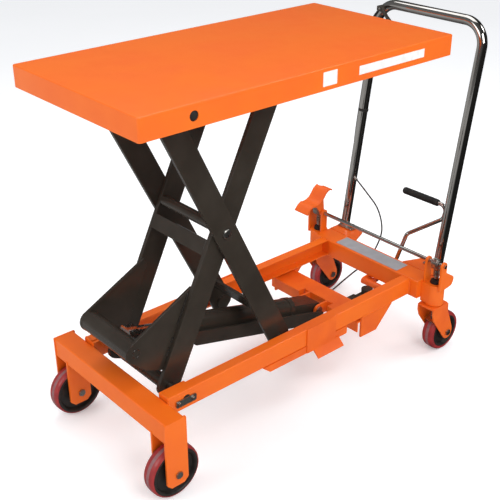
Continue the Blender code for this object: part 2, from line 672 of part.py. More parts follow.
def brake_plunger(side, swivel):
    """The push rod down through the kingpin, with a tilted pad just clear of the tread."""
    tilt = math.radians(32)
    reach = CASTER_RADIUS + 0.0028 + 0.003
    lean = tilt + 0.07
    centre = Vector((CASTER_TRAIL - reach * math.sin(lean), 0, CASTER_RADIUS + reach * math.cos(lean)))
    pad = prism(rectangle((-0.018, 0.020), (-0.018, 0.018), 0.003), "Z", -0.003, 0.003)
    pad.location = centre
    pad.rotation_euler = (0, -tilt - 0.07, 0)
    top = BRAKE_SHAFT_Z - BRAKE_CAM_RADIUS - 0.0006
    stem = rod(PLUNGER_RADIUS, (0, 0, centre.z + 0.001), (0, 0, top), 16)
    collar = rod(0.0075, (0, 0, HOUSING_TOP + 0.013), (0, 0, top - 0.004), 16)
    node(f"brake_plunger_{side}", stem, STEEL, swivel, add=[pad, collar])


def brake():
    """The cross shaft with a cam over each caster, and the S-shaped pedal clamped on it."""
    axis = joint("brake_joint", BASE, (BRAKE_SHAFT_X, 0, BRAKE_SHAFT_Z))
    reach = KINGPIN_Y + 0.0375
    cams = [
        cross_rod(BRAKE_CAM_RADIUS, 0.0, 0.0, across(s, KINGPIN_Y - 0.013, KINGPIN_Y + 0.013))
        for _, s in SIDES
    ]
    shaft = cross_rod(BRAKE_SHAFT_RADIUS, 0, 0, (-reach, reach), 16)
    node("brake_shaft", shaft, CHROME, axis, add=cams)
    centre_line = [
        (0.026, 0.081), (0.020, 0.0845), (0.010, 0.084), (-0.002, 0.076), (-0.012, 0.062), (-0.022, 0.050),
        (-0.036, 0.043), (-0.050, 0.041), (-0.062, 0.043), (-0.074, 0.036), (-0.088, 0.0205),
    ]
    strip = strip_outline(centre_line, 0.005)
    pedal = prism(strip, "Y", KINGPIN_Y - 0.0375, KINGPIN_Y + 0.0225)
    web = prism(
        [(-0.040, 0.0425), (-0.022, 0.047), (-0.006, 0.068), (0.0, 0.066), (0.006, 0.008),
         *arc(0, 0, 0.011, 20, -160, 8),
         (-0.016, 0.010)],
        "Y", KINGPIN_Y - 0.0230, KINGPIN_Y - 0.0175, holes=[circle(0, 0, BRAKE_SHAFT_RADIUS + GAP, 16)],
    )
    notch = rod(0.017, (-0.012, KINGPIN_Y + 0.012, 0.0), (0.030, KINGPIN_Y + 0.012, 0.084))
    node("brake_pedal", pedal, ORANGE, axis, add=[web], cut=[notch])


def strip_outline(centre_line, thickness):
    """The outline of a bent strip, from its centre line."""
    points = [Vector(point) for point in centre_line]
    sides = ([], [])
    for i, point in enumerate(points):
        run = (points[min(i + 1, len(points) - 1)] - points[max(i - 1, 0)]).normalized()
        across_strip = Vector((-run.y, run.x)) * (thickness / 2)
        sides[0].append(tuple(point + across_strip))
        sides[1].append(tuple(point - across_strip))
    return sides[0] + sides[1][::-1]


# --- Scissor arms ------------------------------------------------------------------------------
INNER = joint("inner_arm_joint", BASE, (PIVOT_X, 0, PIVOT_Z), -RAISED_ANGLE)
OUTER = joint("outer_arm_joint", INNER, (ARM_LENGTH / 2, 0, 0), 2 * RAISED_ANGLE)
PLATFORM = joint("platform_joint", OUTER, (-ARM_LENGTH / 2, 0, 0), -RAISED_ANGLE)


def arm_outline(low_end, top_end):
    """A flat bar whose top end is trimmed so that it turns under the platform's sheet.

    The low and top ends are the places of the arm's outer pivots along it.
    """
    half = ARM_WIDTH / 2
    facing = 1 if top_end > low_end else -1
    swing = PLATFORM_PIVOT_DROP - SHEET - 0.0008
    raised, lowered = math.degrees(RAISED_ANGLE), math.degrees(LOWERED_ANGLE)
    trim = (swing - half * math.cos(LOWERED_ANGLE)) / math.sin(LOWERED_ANGLE)
    shoulder = (swing - ARM_END * math.sin(RAISED_ANGLE)) / math.cos(RAISED_ANGLE)
    low = low_end * facing - ARM_END
    top = top_end * facing
    outline = rounded([
        (top + trim, half, 0), (low, half, ARM_CORNER), (low, -half, ARM_CORNER),
        (top + ARM_END, -half, ARM_CORNER), (top + ARM_END, shoulder, 0),
        *((x, y, 0) for x, y in arc(top, 0, swing, 90 - raised, 90 - lowered, 4)),
    ], 4)
    return [(x * facing, y) for x, y in outline]


def roller_stub(x, s, inner_face, outer_end):
    """A stub axle through an arm's end, with a wide flange on the arm's inner face."""
    stub = cross_rod(PIN_RADIUS, x, 0, across(s, inner_face - 0.004, outer_end))
    flange = cross_rod(0.022, x, 0, across(s, inner_face - 0.008, inner_face + 0.001))
    return [stub, flange]


def inner_arm(side, s):
    """An inner arm, from the fixed pivot on the base to a roller under the platform."""
    bores = [
        circle(0, 0, SHAFT_RADIUS + RUNNING), circle(ARM_LENGTH / 2, 0, PIN_RADIUS + RUNNING),
    ]
    bar = prism(arm_outline(0, ARM_LENGTH), "Y", *across(s, INNER_ARM_BACK, INNER_ARM), holes=bores)
    node(f"inner_arm_{side}", bar, BLACK, INNER,
         add=roller_stub(ARM_LENGTH, s, INNER_ARM_BACK, GUIDE_ROLLER[1] + 0.002))


def outer_arm(side, s):
    """An outer arm, from the fixed pivot under the platform to a roller in the base rail."""
    half = ARM_LENGTH / 2
    bores = [circle(-half, 0, PIN_RADIUS + RUNNING), circle(0, 0, PIN_RADIUS + RUNNING)]
    bar = prism(arm_outline(half, -half), "Y", *across(s, OUTER_ARM_BACK, OUTER_ARM), holes=bores)
    node(f"outer_arm_{side}", bar, BLACK, OUTER,
         add=roller_stub(half, s, OUTER_ARM_BACK, RAIL_ROLLER[1] + 0.002))


def roller(name, parent, x, s, span):
    """A bearing roller on a stub axle."""
    half = (span[1] - span[0]) / 2
    rim = [
        (ROLLER_RADIUS - 0.001, half), (ROLLER_RADIUS, half - 0.001), (ROLLER_RADIUS, -half + 0.001),
        (ROLLER_RADIUS - 0.001, -half), (PIN_RADIUS + RUNNING, -half), (PIN_RADIUS + RUNNING, half),
    ]
    axis = joint(f"{name}_joint", parent, (x, s * (span[0] + span[1]) / 2, 0))
    node(name, turned(rim, (0, 0, 0), 20), STEEL, axis)


RAIL_ROLLER = (RAIL_EDGE + 0.002, RAIL_EDGE + 0.002 + ROLLER_WIDTH)
GUIDE_ROLLER = (GUIDE_FACE - GUIDE_WALL - 0.003 - ROLLER_WIDTH, GUIDE_FACE - GUIDE_WALL - 0.003)


def arm_pins(side, s):
    """The centre pin that joins a pair of arms, and the pin that holds an outer arm's top."""
    centre = cross_rod(PIN_RADIUS, ARM_LENGTH / 2, 0, across(s, INNER_ARM_BACK + GAP, OUTER_ARM + 0.004))
    head = cross_rod(0.0125, ARM_LENGTH / 2, 0, across(s, OUTER_ARM + GAP, OUTER_ARM + 0.005))
    node(f"centre_pin_{side}", centre, ZINC, INNER, add=[head])
    web = GUIDE_FACE - GUIDE_WALL
    pin = cross_rod(PIN_RADIUS, 0, 0, across(s, OUTER_ARM_BACK + GAP, GUIDE_FACE + 0.003))
    spacer = cross_rod(0.0155, 0, 0, across(s, OUTER_ARM + 0.0008, web - GAP))
    end = cross_rod(0.014, 0, 0, across(s, GUIDE_FACE + GAP, GUIDE_FACE + 0.004))
    node(f"platform_pin_{side}", pin, ZINC, PLATFORM, add=[spacer, end])


def base_pivot_shaft():
    """The shaft across the rails that both inner arms turn on, thicker between the arms."""
    reach = RAIL_FACE - GAP
    shaft = cross_rod(SHAFT_RADIUS, PIVOT_X, PIVOT_Z, (-reach, reach))
    spacer = cross_rod(0.019, PIVOT_X, PIVOT_Z, (-INNER_ARM_BACK + 0.0008, INNER_ARM_BACK - 0.0008))
    node("base_pivot_shaft", shaft, BLACK, BASE, add=[spacer])


def ram_cradle():
    """The gussets on the inner arms with the bar between them that the ram pushes."""
    inside = INNER_ARM_BACK - GAP
    outline = [
        (0.270, 0.030), *arc(RAM_BAR_ALONG, RAM_BAR_ABOVE, 0.030, 62, 184, 8),
        (0.036, 0.084), (0.040, 0.022), (0.060, 0.012), (0.255, 0.012),
    ]
    gussets = [prism(outline, "Y", *across(s, inside - 0.008, inside)) for _, s in SIDES]
    reach = inside - 0.004
    bar = cross_rod(RAM_BAR_RADIUS - 0.0015, RAM_BAR_ALONG, RAM_BAR_ABOVE, (-reach, reach), 40)
    node("ram_cradle", bar, BLACK, INNER, add=gussets)


def arm_braces():
    """The tube and the flat bar between the inner arms, and the plate between the outer arms."""
    inside = INNER_ARM_BACK - GAP
    tube = cross_rod(0.015, ARM_LENGTH / 2 + 0.0077, 0.0208, (-inside, inside))
    node("tie_tube", tube, BLACK, INNER)
    middle = ARM_LENGTH / 2 - 0.0515
    flat = box((middle - 0.0205, middle + 0.0205), (-inside, inside), (0.026, 0.034))
    node("cross_flat", flat, BLACK, INNER)
    wide = OUTER_ARM_BACK - GAP
    end = ARM_LENGTH / 2 - 0.065
    plate = prism(rectangle((end - 0.050, end), (-wide, wide), 0.0), "Z", 0.0, 0.008)
    node("lower_cross_plate", plate, BLACK, OUTER)


# --- Ram ---------------------------------------------------------------------------------------
BAR_FROM_PIVOT = Vector((
    RAM_BAR_ALONG * math.cos(RAISED_ANGLE) - RAM_BAR_ABOVE * math.sin(RAISED_ANGLE),
    RAM_BAR_ALONG * math.sin(RAISED_ANGLE) + RAM_BAR_ABOVE * math.cos(RAISED_ANGLE),
))
RAM_LINE = Vector((PIVOT_X, PIVOT_Z)) + BAR_FROM_PIVOT - Vector((RAM_PIN_X, RAM_PIN_HEIGHT))
RAM_LENGTH = RAM_LINE.length
RAM_TURN = math.atan2(RAM_LINE.y, -RAM_LINE.x)
# The ram's frame points from its rear pin to the ram bar along -X, so distances are negative.
RAM = joint("ram_joint", BASE, (RAM_PIN_X, 0, RAM_PIN_HEIGHT), RAM_TURN)


def ram_rod(radius, start, end, sides=36):
    """A round bar along the ram between two distances from its rear pin."""
    return rod(radius, (-start, 0, 0), (-end, 0, 0), sides)


def ram():
    """The cylinder, its rod and the side bars bolted along it."""
    body = ram_rod(CYLINDER_RADIUS, CYLINDER_START, CYLINDER_END)
    gland = ram_rod(CYLINDER_RADIUS + 0.003, CYLINDER_END - 0.030, CYLINDER_END - 0.004)
    rear_cap = ram_rod(CYLINDER_RADIUS + 0.002, CYLINDER_START - 0.002, CYLINDER_START + 0.016)
    eye = prism(
        [(-CYLINDER_START - 0.004, -0.020), *arc(0, 0, 0.020, -90, 90, 10), (-CYLINDER_START - 0.004, 0.020)],
        "Y", -0.030, 0.030, holes=[circle(0, 0, 0.008 + RUNNING, 16)],
    )
    bore = ram_rod(ROD_RADIUS + RUNNING, CYLINDER_END - 0.185, CYLINDER_END + 0.02)
    node("ram_cylinder", body, BLACK, RAM, add=[gland, rear_cap, eye], cut=[bore])

    slide = joint("ram_slide", RAM, (0, 0, 0))
    tip = RAM_LENGTH - RAM_BAR_RADIUS - SADDLE_GAP + 0.008
    rod_body = ram_rod(ROD_RADIUS, CYLINDER_END - 0.045, tip - 0.012)
    saddle = ram_rod(0.024, tip - 0.034, tip)
    cradle = cross_rod(RAM_BAR_RADIUS + SADDLE_GAP, -RAM_LENGTH, 0, (-0.05, 0.05), 48)
    node("ram_rod", rod_body, STEEL, slide, add=[saddle], cut=[cradle])

    low = -CYLINDER_RADIUS - 0.009
    bars = [
        prism(
            rounded([
                (0.012, low, 0.012), (0.012, 0.001, 0.012), (-0.500, 0.001, 0.012), (-0.500, low, 0.012),
            ]),
            "Y", *across(s, 0.047, 0.053),
        )
        for _, s in SIDES
    ]
    straps = [box((x - 0.030, x), (-0.050, 0.050), (low, low + 0.0055)) for x in (-0.130, -0.300, -0.440)]
    node("ram_side_bars", bars[0], BLACK, RAM, add=[*straps, bars[1]])


# --- Platform ----------------------------------------------------------------------------------
def platform():
    """The sheet with its skirt all round, the access holes, and the roller guides below it."""
    top = PLATFORM_PIVOT_DROP
    bottom = top - SKIRT_DEPTH
    x_range = (-PIVOT_INSET, PLATFORM_LENGTH - PIVOT_INSET)
    tray = prism(rectangle(x_range, (-HALF_WIDTH, HALF_WIDTH), PLATFORM_CORNER, 4), "Z", bottom, top)
    soften_top(tray)
    hollow = prism(
        rectangle((x_range[0] + SHEET, x_range[1] - SHEET), (-HALF_WIDTH + SHEET, HALF_WIDTH - SHEET),
                  PLATFORM_CORNER - SHEET, 4),
        "Z", bottom - 0.01, top - SHEET,
    )
    access = cross_rod(ACCESS_HOLE_RADIUS, 0, 0, (-HALF_WIDTH - 0.01, HALF_WIDTH + 0.01))
    node("platform", tray, ORANGE, PLATFORM, cut=[hollow, access])
    for side, s in SIDES:
        guide(side, s, x_range)


def soften_top(tray):
    """Rounds the edge where the platform's sheet folds down into its skirt."""
    bm = bmesh.new()
    bm.from_mesh(tray.data)
    height = max(vert.co.z for vert in bm.verts)
    rim = [edge for edge in bm.edges if all(abs(vert.co.z - height) < 1e-6 for vert in edge.verts)
           and len(edge.link_faces) == 2
           and abs(edge.link_faces[0].normal.z - edge.link_faces[1].normal.z) > 0.5]
    bmesh.ops.bevel(bm, geom=rim, offset=0.0025, segments=2, profile=0.5, affect="EDGES")
    bm.to_mesh(tray.data)
    bm.free()


def guide(side, s, x_range):
    """The angle under the platform that a roller runs in; the sheet above is its other flange."""
    under_sheet = PLATFORM_PIVOT_DROP - SHEET - GAP
    floor = -ROLLER_RADIUS - ROLLER_CLEARANCE - GUIDE_WALL
    outline = [
        (s * GUIDE_FACE, under_sheet), (s * (GUIDE_FACE - GUIDE_WALL), under_sheet),
        (s * (GUIDE_FACE - GUIDE_WALL), floor + GUIDE_WALL), (s * (GUIDE_FACE - GUIDE_DEPTH), floor + GUIDE_WALL),
        (s * (GUIDE_FACE - GUIDE_DEPTH), floor), (s * GUIDE_FACE, floor),
    ]
    pin_hole = cross_rod(PIN_RADIUS + RUNNING, 0, 0, across(s, 0.05, 0.25))
    angle = prism(outline, "X", x_range[0] + 0.105, x_range[1] - 0.006)
    relief = box((x_range[0] + 0.09, 0.045), across(s, GUIDE_FACE - GUIDE_DEPTH - 0.01, GUIDE_FACE - GUIDE_WALL),
                 (floor - 0.01, floor + GUIDE_WALL + 0.001))
    node(f"roller_guide_{side}", angle, ORANGE, PLATFORM, cut=[pin_hole, relief])


# --- Handle, release and pump ------------------------------------------------------------------
def handle():
    """The chromed push handle standing on a bracket behind each end of the rear beam."""
    rise = HANDLE_TOP - HANDLE_FOOT_Z
    corners = [
        (HANDLE_FOOT_X + HANDLE_LEAN * 0.004, -HANDLE_Y, HANDLE_FOOT_Z + 0.004),
        (HANDLE_FOOT_X + HANDLE_LEAN * rise, -HANDLE_Y, HANDLE_TOP),
        (HANDLE_FOOT_X + HANDLE_LEAN * rise, HANDLE_Y, HANDLE_TOP),
        (HANDLE_FOOT_X + HANDLE_LEAN * 0.004, HANDLE_Y, HANDLE_FOOT_Z + 0.004),
    ]
    feet = [
        prism(rectangle((HANDLE_FOOT_X - 0.018, HANDLE_FOOT_X + 0.018), across(s, HANDLE_Y - 0.045, HANDLE_Y + 0.017),
                        0.005), "Z", HANDLE_FOOT_Z, HANDLE_FOOT_Z + 0.006)
        for _, s in SIDES
    ]
    tube = swept(bent(corners, HANDLE_BEND, 6), HANDLE_RADIUS, 4)
    bolts = [piece for _, s in SIDES for piece in foot_bolt(s)]
    node("handle_tube", tube, CHROME, BASE, add=[*feet, *bolts])


def handle_bracket(side, s):
    """A folded bracket behind the rear beam, and the bolt that holds the handle's foot to it."""
    plate = prism(
        rounded([
            (BEAM_REAR_BACK + GAP, s * (HANDLE_Y + 0.022), 0), (HANDLE_FOOT_X + 0.008, s * (HANDLE_Y + 0.022), 0.012),
            (HANDLE_FOOT_X + 0.022, s * (HANDLE_Y - 0.020), 0.012),
            (HANDLE_FOOT_X + 0.012, s * (HANDLE_Y - 0.072), 0.014), (BEAM_REAR_BACK + GAP, s * (HANDLE_Y - 0.099), 0),
        ][::s]),
        "Z", BEAM_REAR_TOP - 0.006, BEAM_REAR_TOP,
    )
    web = box((BEAM_REAR_BACK + GAP, BEAM_REAR_BACK + 0.006), across(s, HANDLE_Y - 0.090, HANDLE_Y + 0.018),
              (BEAM_REAR_Z, BEAM_REAR_TOP - 0.001))
    rib = prism(
        [(BEAM_REAR_BACK + 0.002, BEAM_REAR_TOP - 0.001), (BEAM_REAR_BACK + 0.002, BEAM_REAR_Z + 0.004),
         (HANDLE_FOOT_X + 0.010, BEAM_REAR_TOP - 0.012), (HANDLE_FOOT_X + 0.010, BEAM_REAR_TOP - 0.001)],
        "Y", *across(s, HANDLE_Y - 0.003, HANDLE_Y + 0.003),
    )
    node(f"handle_bracket_{side}", plate, ORANGE, BASE, add=[web, rib])


def foot_bolt(s):
    """The washer and hexagon head of the bolt down through the handle's foot."""
    x, y = HANDLE_FOOT_X, s * (HANDLE_Y - 0.033)
    seat = HANDLE_FOOT_Z + 0.005
    washer = rod(0.011, (x, y, seat), (x, y, seat + 0.003))
    head = rod(0.009, (x, y, seat + 0.002), (x, y, seat + 0.010), 6)
    return washer, head


def release():
    """The hand lever in the handle's far corner and the cable from it to the pump."""
    upright_x = HANDLE_FOOT_X + HANDLE_LEAN * (HANDLE_TOP - 0.030 - HANDLE_FOOT_Z)
    pivot = joint(
        "release_joint", BASE, (upright_x - HANDLE_RADIUS - 0.012, HANDLE_Y - 0.030, HANDLE_TOP - 0.012),
    )
    blade = prism(
        [*arc(0, 0, 0.009, -70, 160, 8), (-0.030, -0.020), (-0.054, -0.039), (-0.052, -0.046),
         (-0.034, -0.036), (-0.010, -0.012)],
        "X", -0.004, 0.004,
    )
    node("release_lever", blade, BLACK, pivot)
    cable = [(x + BEAM_REAR_X, y, z) for x, y, z in CABLE_POINTS]
    node("release_cable", swept(cable, 0.0025, smooth=True), RUBBER, BASE)


# The release cable's route from the handle's upright to the pump: x is from the rear beam's face.
CABLE_POINTS = (
    (0.143, 0.178, 0.430), (0.135, 0.121, 0.401), (0.134, 0.074, 0.366), (0.134, 0.050, 0.320),
    (0.132, 0.046, 0.273), (0.110, 0.052, 0.220), (0.070, 0.052, 0.184), (0.023, 0.050, 0.178),
    (-0.050, 0.034, 0.176), (-0.100, 0.022, 0.174), (-0.1430, 0.012, 0.173),
)


def pump():
    """The pump under the chassis, its piston, and the foot pedal with its grip."""
    block = box((CHANNEL_BACK + GAP, CHANNEL_BACK + 0.036), (PUMP_Y - 0.022, PUMP_Y + 0.024), (0.150, 0.187))
    barrel = rod(0.018, (PISTON_X, PUMP_Y, BARREL_BOTTOM), (PISTON_X, PUMP_Y, 0.204))
    bridge = box(
        (CHANNEL_BACK + 0.030, PISTON_X), (PUMP_Y - 0.015, PUMP_Y + 0.015),
        (BARREL_BOTTOM + 0.0005, BARREL_BOTTOM + 0.016),
    )
    bore = rod(PISTON_RADIUS + RUNNING, (PISTON_X, PUMP_Y, 0.12), (PISTON_X, PUMP_Y, 0.199))
    node("pump_body", block, BLACK, BASE, add=[barrel, bridge], cut=[bore])

    stroke = joint("pump_piston_joint", BASE, (PISTON_X, PUMP_Y, 0))
    stem = rod(PISTON_RADIUS, (0, 0, PISTON_FOOT + 0.002), (0, 0, 0.1795))
    foot = rod(0.010, (0, 0, PISTON_FOOT), (0, 0, PISTON_FOOT + 0.004))
    node("pump_piston", stem, STEEL, stroke, add=[foot])

    axis = joint("pump_pedal_joint", BASE, (PUMP_PIVOT_X, 0, PUMP_PIVOT_Z))
    hub_range = (PUMP_Y - 0.0148, PUMP_Y + 0.0648)
    hub = cross_rod(0.0115, 0, 0, hub_range)
    tip = PISTON_X - PUMP_PIVOT_X
    lever = prism(
        [(0, 0.010), (tip + 0.017, -0.037), *arc(tip - 0.006, -0.0435, 0.0065, 90, 270, 5),
         (tip + 0.022, -0.050), (0.006, -0.009)],
        "Y", PUMP_Y - 0.005, PUMP_Y + 0.005,
    )
    rear_arm = prism(
        [(0.0, 0.009), (0.0, -0.009), (0.045, -0.013), (0.045, 0.001)],
        "Y", PUMP_Y + 0.045, PUMP_Y + 0.055,
    )
    corners = [(x + BEAM_REAR_X - PUMP_PIVOT_X, y, z - PUMP_PIVOT_Z) for x, y, z in PEDAL_CORNERS]
    pedal = swept(bent(corners, 0.020, 3), 0.0065)
    bore = cross_rod(0.006 + RUNNING, 0, 0, (-0.2, 0.1), 16)
    node("pump_pedal", pedal, CHROME, axis, add=[rear_arm, hub, lever], cut=[bore])

    grip_x, grip_z = PEDAL_CORNERS[-1][0] + BEAM_REAR_X - PUMP_PIVOT_X, PEDAL_CORNERS[-1][2] - PUMP_PIVOT_Z
    sleeve = [
        (0.0095, 0.0), (0.0115, -0.003), (0.0115, -0.137), (0.0095, -0.140),
        (0.0068, -0.140), (0.0068, 0.0),
    ]
    grip = turned(sleeve, (grip_x, 0.014, grip_z), 16)
    node("pedal_grip", grip, RUBBER, axis)


# The pedal rod's corners, from under the rear beam to the grip: x is from the rear beam's face.
PEDAL_CORNERS = (
    (0.021, -0.035, 0.177), (0.098, -0.035, 0.177), (0.120, -0.070, 0.325), (0.195, -0.150, 0.383),
    (0.195, -0.160, 0.430), (0.195, 0.013, 0.430),
)


def build():
    for side, s in SIDES:
        rail(side, s)
        shaft_keeper(side, s)
        side_bracket(side, s)
        front_wheel(side, s)
        caster_housing(side, s)
        caster(side, s)
        inner_arm(side, s)
        outer_arm(side, s)
        arm_pins(side, s)
        roller(f"guide_roller_{side}", INNER, ARM_LENGTH, s, GUIDE_ROLLER)
        roller(f"rail_roller_{side}", OUTER, ARM_LENGTH / 2, s, RAIL_ROLLER)
        handle_bracket(side, s)
    front_beam()
    mid_channel()
    ram_anchor()
    rear_beam()
    name_plate()
    brake()
    base_pivot_shaft()
    ram_cradle()
    arm_braces()
    ram()
    platform()
    handle()
    release()
    pump()


build()
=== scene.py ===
"""The finished looks of a mobile scissor lift table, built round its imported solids.

Plates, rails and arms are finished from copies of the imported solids, with their edges rounded.
Wheels, tubes, shafts, grips, springs, boots, cables and welds are modelled here. Lengths are in
metres, +X runs towards the push handle and -Y is the near side.
"""
from __future__ import annotations

import json
import logging
import math
from collections.abc import Callable, Iterable, Iterator, Sequence
from contextlib import contextmanager
from dataclasses import dataclass
from enum import Enum

import bmesh
import bpy
from mathutils import Matrix, Vector


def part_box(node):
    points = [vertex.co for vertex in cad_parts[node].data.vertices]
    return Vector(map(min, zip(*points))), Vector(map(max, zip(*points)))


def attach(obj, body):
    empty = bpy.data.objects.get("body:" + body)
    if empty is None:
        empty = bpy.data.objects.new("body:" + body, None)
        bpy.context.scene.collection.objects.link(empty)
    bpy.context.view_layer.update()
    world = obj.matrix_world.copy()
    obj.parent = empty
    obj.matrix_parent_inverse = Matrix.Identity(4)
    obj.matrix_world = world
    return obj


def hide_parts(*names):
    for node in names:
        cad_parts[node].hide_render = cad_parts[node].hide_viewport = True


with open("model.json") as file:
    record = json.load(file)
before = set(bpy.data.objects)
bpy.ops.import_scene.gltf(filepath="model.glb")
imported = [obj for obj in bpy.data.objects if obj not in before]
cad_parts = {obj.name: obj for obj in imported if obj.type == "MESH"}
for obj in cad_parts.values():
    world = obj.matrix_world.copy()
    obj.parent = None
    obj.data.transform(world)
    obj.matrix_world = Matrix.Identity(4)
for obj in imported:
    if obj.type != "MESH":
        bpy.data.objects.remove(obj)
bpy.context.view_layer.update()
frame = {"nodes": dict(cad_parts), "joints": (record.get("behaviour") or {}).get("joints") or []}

log = logging.getLogger("lift_table")
Point = Sequence[float]
Profile = Sequence[tuple[float, float]]
Piece = bpy.types.Object
Edge = bmesh.types.BMEdge
Shaded = bpy.types.Material | bpy.types.World

MERGE = 0.000005          # vertices of a new shape closer than this are one
PACKED_MERGE = 0.00002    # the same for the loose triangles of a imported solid
FLAT_ANGLE = math.radians(0.6)
SIDES = (("near", -1), ("far", 1))


# --- Finishes --------------------------------------------------------------------------------
class Slot(Enum):
    """The record's material slots that a finish can stand for."""

    ORANGE = "orange"
    BLACK = "black"
    CHROME = "chrome"
    ZINC = "zinc"
    STEEL = "steel"
    TREAD = "tread"
    RUBBER = "rubber"
    GREY = "grey"


def linear(hex_colour: str) -> tuple[float, float, float, float]:
    """Turns an sRGB hex colour into the linear colour that a shader takes.

    Args:
        hex_colour: Six hex digits.

    Returns:
        Linear red, green and blue, and an alpha of one.
    """
    channels = [int(hex_colour[i:i + 2], 16) / 255 for i in (0, 2, 4)]
    return (*(c / 12.92 if c <= 0.04045 else ((c + 0.055) / 1.055) ** 2.4 for c in channels), 1.0)


def add_node(material: Shaded, kind: str,
             settings: dict | None = None, links: dict | None = None) -> bpy.types.Node:
    """Adds a shader node with its settings and links.

    Args:
        material: The material that the node is added to.
        kind: The node's type name.
        settings: Properties of the node, or values of its inputs, by name or number.
        links: Output sockets for its inputs, by name or number.

    Returns:
        The new node.
    """
    node = material.node_tree.nodes.new(kind)
    for key, value in (settings or {}).items():
        if isinstance(key, str) and key not in node.inputs:
            setattr(node, key, value)
        else:
            node.inputs[key].default_value = value
    for key, source in (links or {}).items():
        material.node_tree.links.new(source, node.inputs[key])
    return node


@dataclass(frozen=True)
class Finish:
    """A surface finish: its colours, its gloss, and the size and depth of its texture."""

    name: str
    slot: Slot
    colour: str
    patch_colour: str
    patch_mm: float
    roughness: tuple[float, float]
    grain_mm: float
    grain_depth_mm: float
    metallic: float = 0.0
    coat: float = 0.0
    coat_roughness: float = 0.08
    stretch: tuple[float, float, float] = (1.0, 1.0, 1.0)

    def material(self) -> bpy.types.Material:
        """Builds the finish once, and returns the same material after that."""
        made = bpy.data.materials.get(self.name)
        if made is not None:
            return made
        made = bpy.data.materials.new(self.name)
        made.use_nodes = True
        shader = made.node_tree.nodes["Principled BSDF"]
        place = add_node(made, "ShaderNodeTexCoord")
        mapping = add_node(made, "ShaderNodeMapping", {"Scale": self.stretch},
                           {"Vector": place.outputs["Object"]})
        patches = add_node(made, "ShaderNodeTexNoise",
                           {"Scale": 1000 / self.patch_mm, "Detail": 4.0},
                           {"Vector": mapping.outputs[0]})
        spread = add_node(made, "ShaderNodeMapRange", {"From Min": 0.35, "From Max": 0.65},
                          {"Value": patches.outputs["Fac"]})
        colour = add_node(made, "ShaderNodeMix",
                          {"data_type": "RGBA", 6: linear(self.colour), 7: linear(self.patch_colour)},
                          {0: spread.outputs[0]})
        smoothest, roughest = self.roughness
        gloss = add_node(made, "ShaderNodeMapRange", {"To Min": smoothest, "To Max": roughest},
                         {"Value": spread.outputs[0]})
        grain = add_node(made, "ShaderNodeTexNoise", {"Scale": 1000 / self.grain_mm, "Detail": 2.0},
                         {"Vector": mapping.outputs[0]})
        relief = add_node(made, "ShaderNodeBump",
                          {"Distance": self.grain_depth_mm / 1000, "Strength": 0.6},
                          {"Height": grain.outputs["Fac"]})
        shader.inputs["Metallic"].default_value = self.metallic
        shader.inputs["Coat Weight"].default_value = self.coat
        shader.inputs["Coat Roughness"].default_value = self.coat_roughness
        made.node_tree.links.new(colour.outputs[2], shader.inputs["Base Color"])
        made.node_tree.links.new(gloss.outputs[0], shader.inputs["Roughness"])
        made.node_tree.links.new(relief.outputs[0], shader.inputs["Normal"])
        made.diffuse_color = linear(self.colour)
        return made


# Polyester powder coat, sprayed and baked: a saturated gloss skin with a soft orange peel, whose
# 3 mm cells are drawn a little coarser than the real ones so that they show.
POWDER_COAT = Finish("orange powder coat", Slot.ORANGE, "F2701A", "EE6815", 140,
                     (0.28, 0.36), 3.2, 0.05, coat=0.06)
# The same coat laid over thick plate, which holds less of it in its corners.
PLATE_COAT = Finish("orange powder coat on plate", Slot.ORANGE, "EE6A1A", "E65F14", 60,
                    (0.30, 0.40), 2.6, 0.06,
                    coat=0.06)
# Black enamel on hot-rolled bar: brown-black, glossy, with a faint drag along the bar.
BLACK_ENAMEL = Finish("black gloss enamel", Slot.BLACK, "312B25", "38322B", 90,
                      (0.16, 0.26), 2.8, 0.04, coat=0.06)
# The same enamel pooled over weld beads, which it leaves wet-looking.
WELD_ENAMEL = Finish("black enamel on welds", Slot.BLACK, "26221E", "302B26", 8,
                     (0.06, 0.12), 4.0, 0.03, coat=0.60)
# Bright chrome plate on drawn tube: near mirror, with a slight haze in patches.
CHROME_PLATE = Finish("bright chrome plate", Slot.CHROME, "C6C3BF", "B9B5B0", 45,
                      (0.05, 0.10), 6.0, 0.010,
                      metallic=1.0, stretch=(1.0, 1.0, 0.35))
# Zinc plate with a clear passivate on turned and pressed hardware: pale, uneven and satin.
ZINC_PLATE = Finish("clear zinc plate", Slot.ZINC, "BDBBB4", "A3A29E", 7,
                    (0.26, 0.44), 1.6, 0.03, metallic=1.0)
# Ground and oiled steel on rollers, the piston rod and the plungers.
GROUND_STEEL = Finish("ground steel", Slot.STEEL, "C0BEBA", "A9A7A3", 10,
                      (0.16, 0.28), 1.2, 0.02, metallic=1.0,
                      stretch=(1.0, 6.0, 1.0))
# Cast polyurethane tyre: deep red, slightly waxy.
POLYURETHANE = Finish("cast red polyurethane", Slot.TREAD, "A6302F", "8F2628", 24,
                      (0.30, 0.45), 3.0, 0.05, coat=0.10)
# The rolling band of the tyre, scuffed to a dull dusty pink.
WORN_TREAD = Finish("scuffed polyurethane", Slot.TREAD, "8A6668", "94585A", 12,
                    (0.50, 0.70), 1.5, 0.10)
# Wheel centre of cast iron under a thick black paint.
WHEEL_CENTRE = Finish("black painted casting", Slot.TREAD, "24201E", "302B27", 14,
                      (0.32, 0.48), 1.8, 0.16, coat=0.10)
# Moulded black rubber of grips, boots, hole plugs and conduit clips: matt with a fine bloom.
RUBBER = Finish("moulded black rubber", Slot.RUBBER, "1D1B19", "2A2826", 16,
                (0.55, 0.72), 0.9, 0.06)
# PVC sheath of the release cable.
CABLE_SHEATH = Finish("black cable sheath", Slot.RUBBER, "1A1816", "24211F", 12,
                      (0.35, 0.48), 1.2, 0.02)
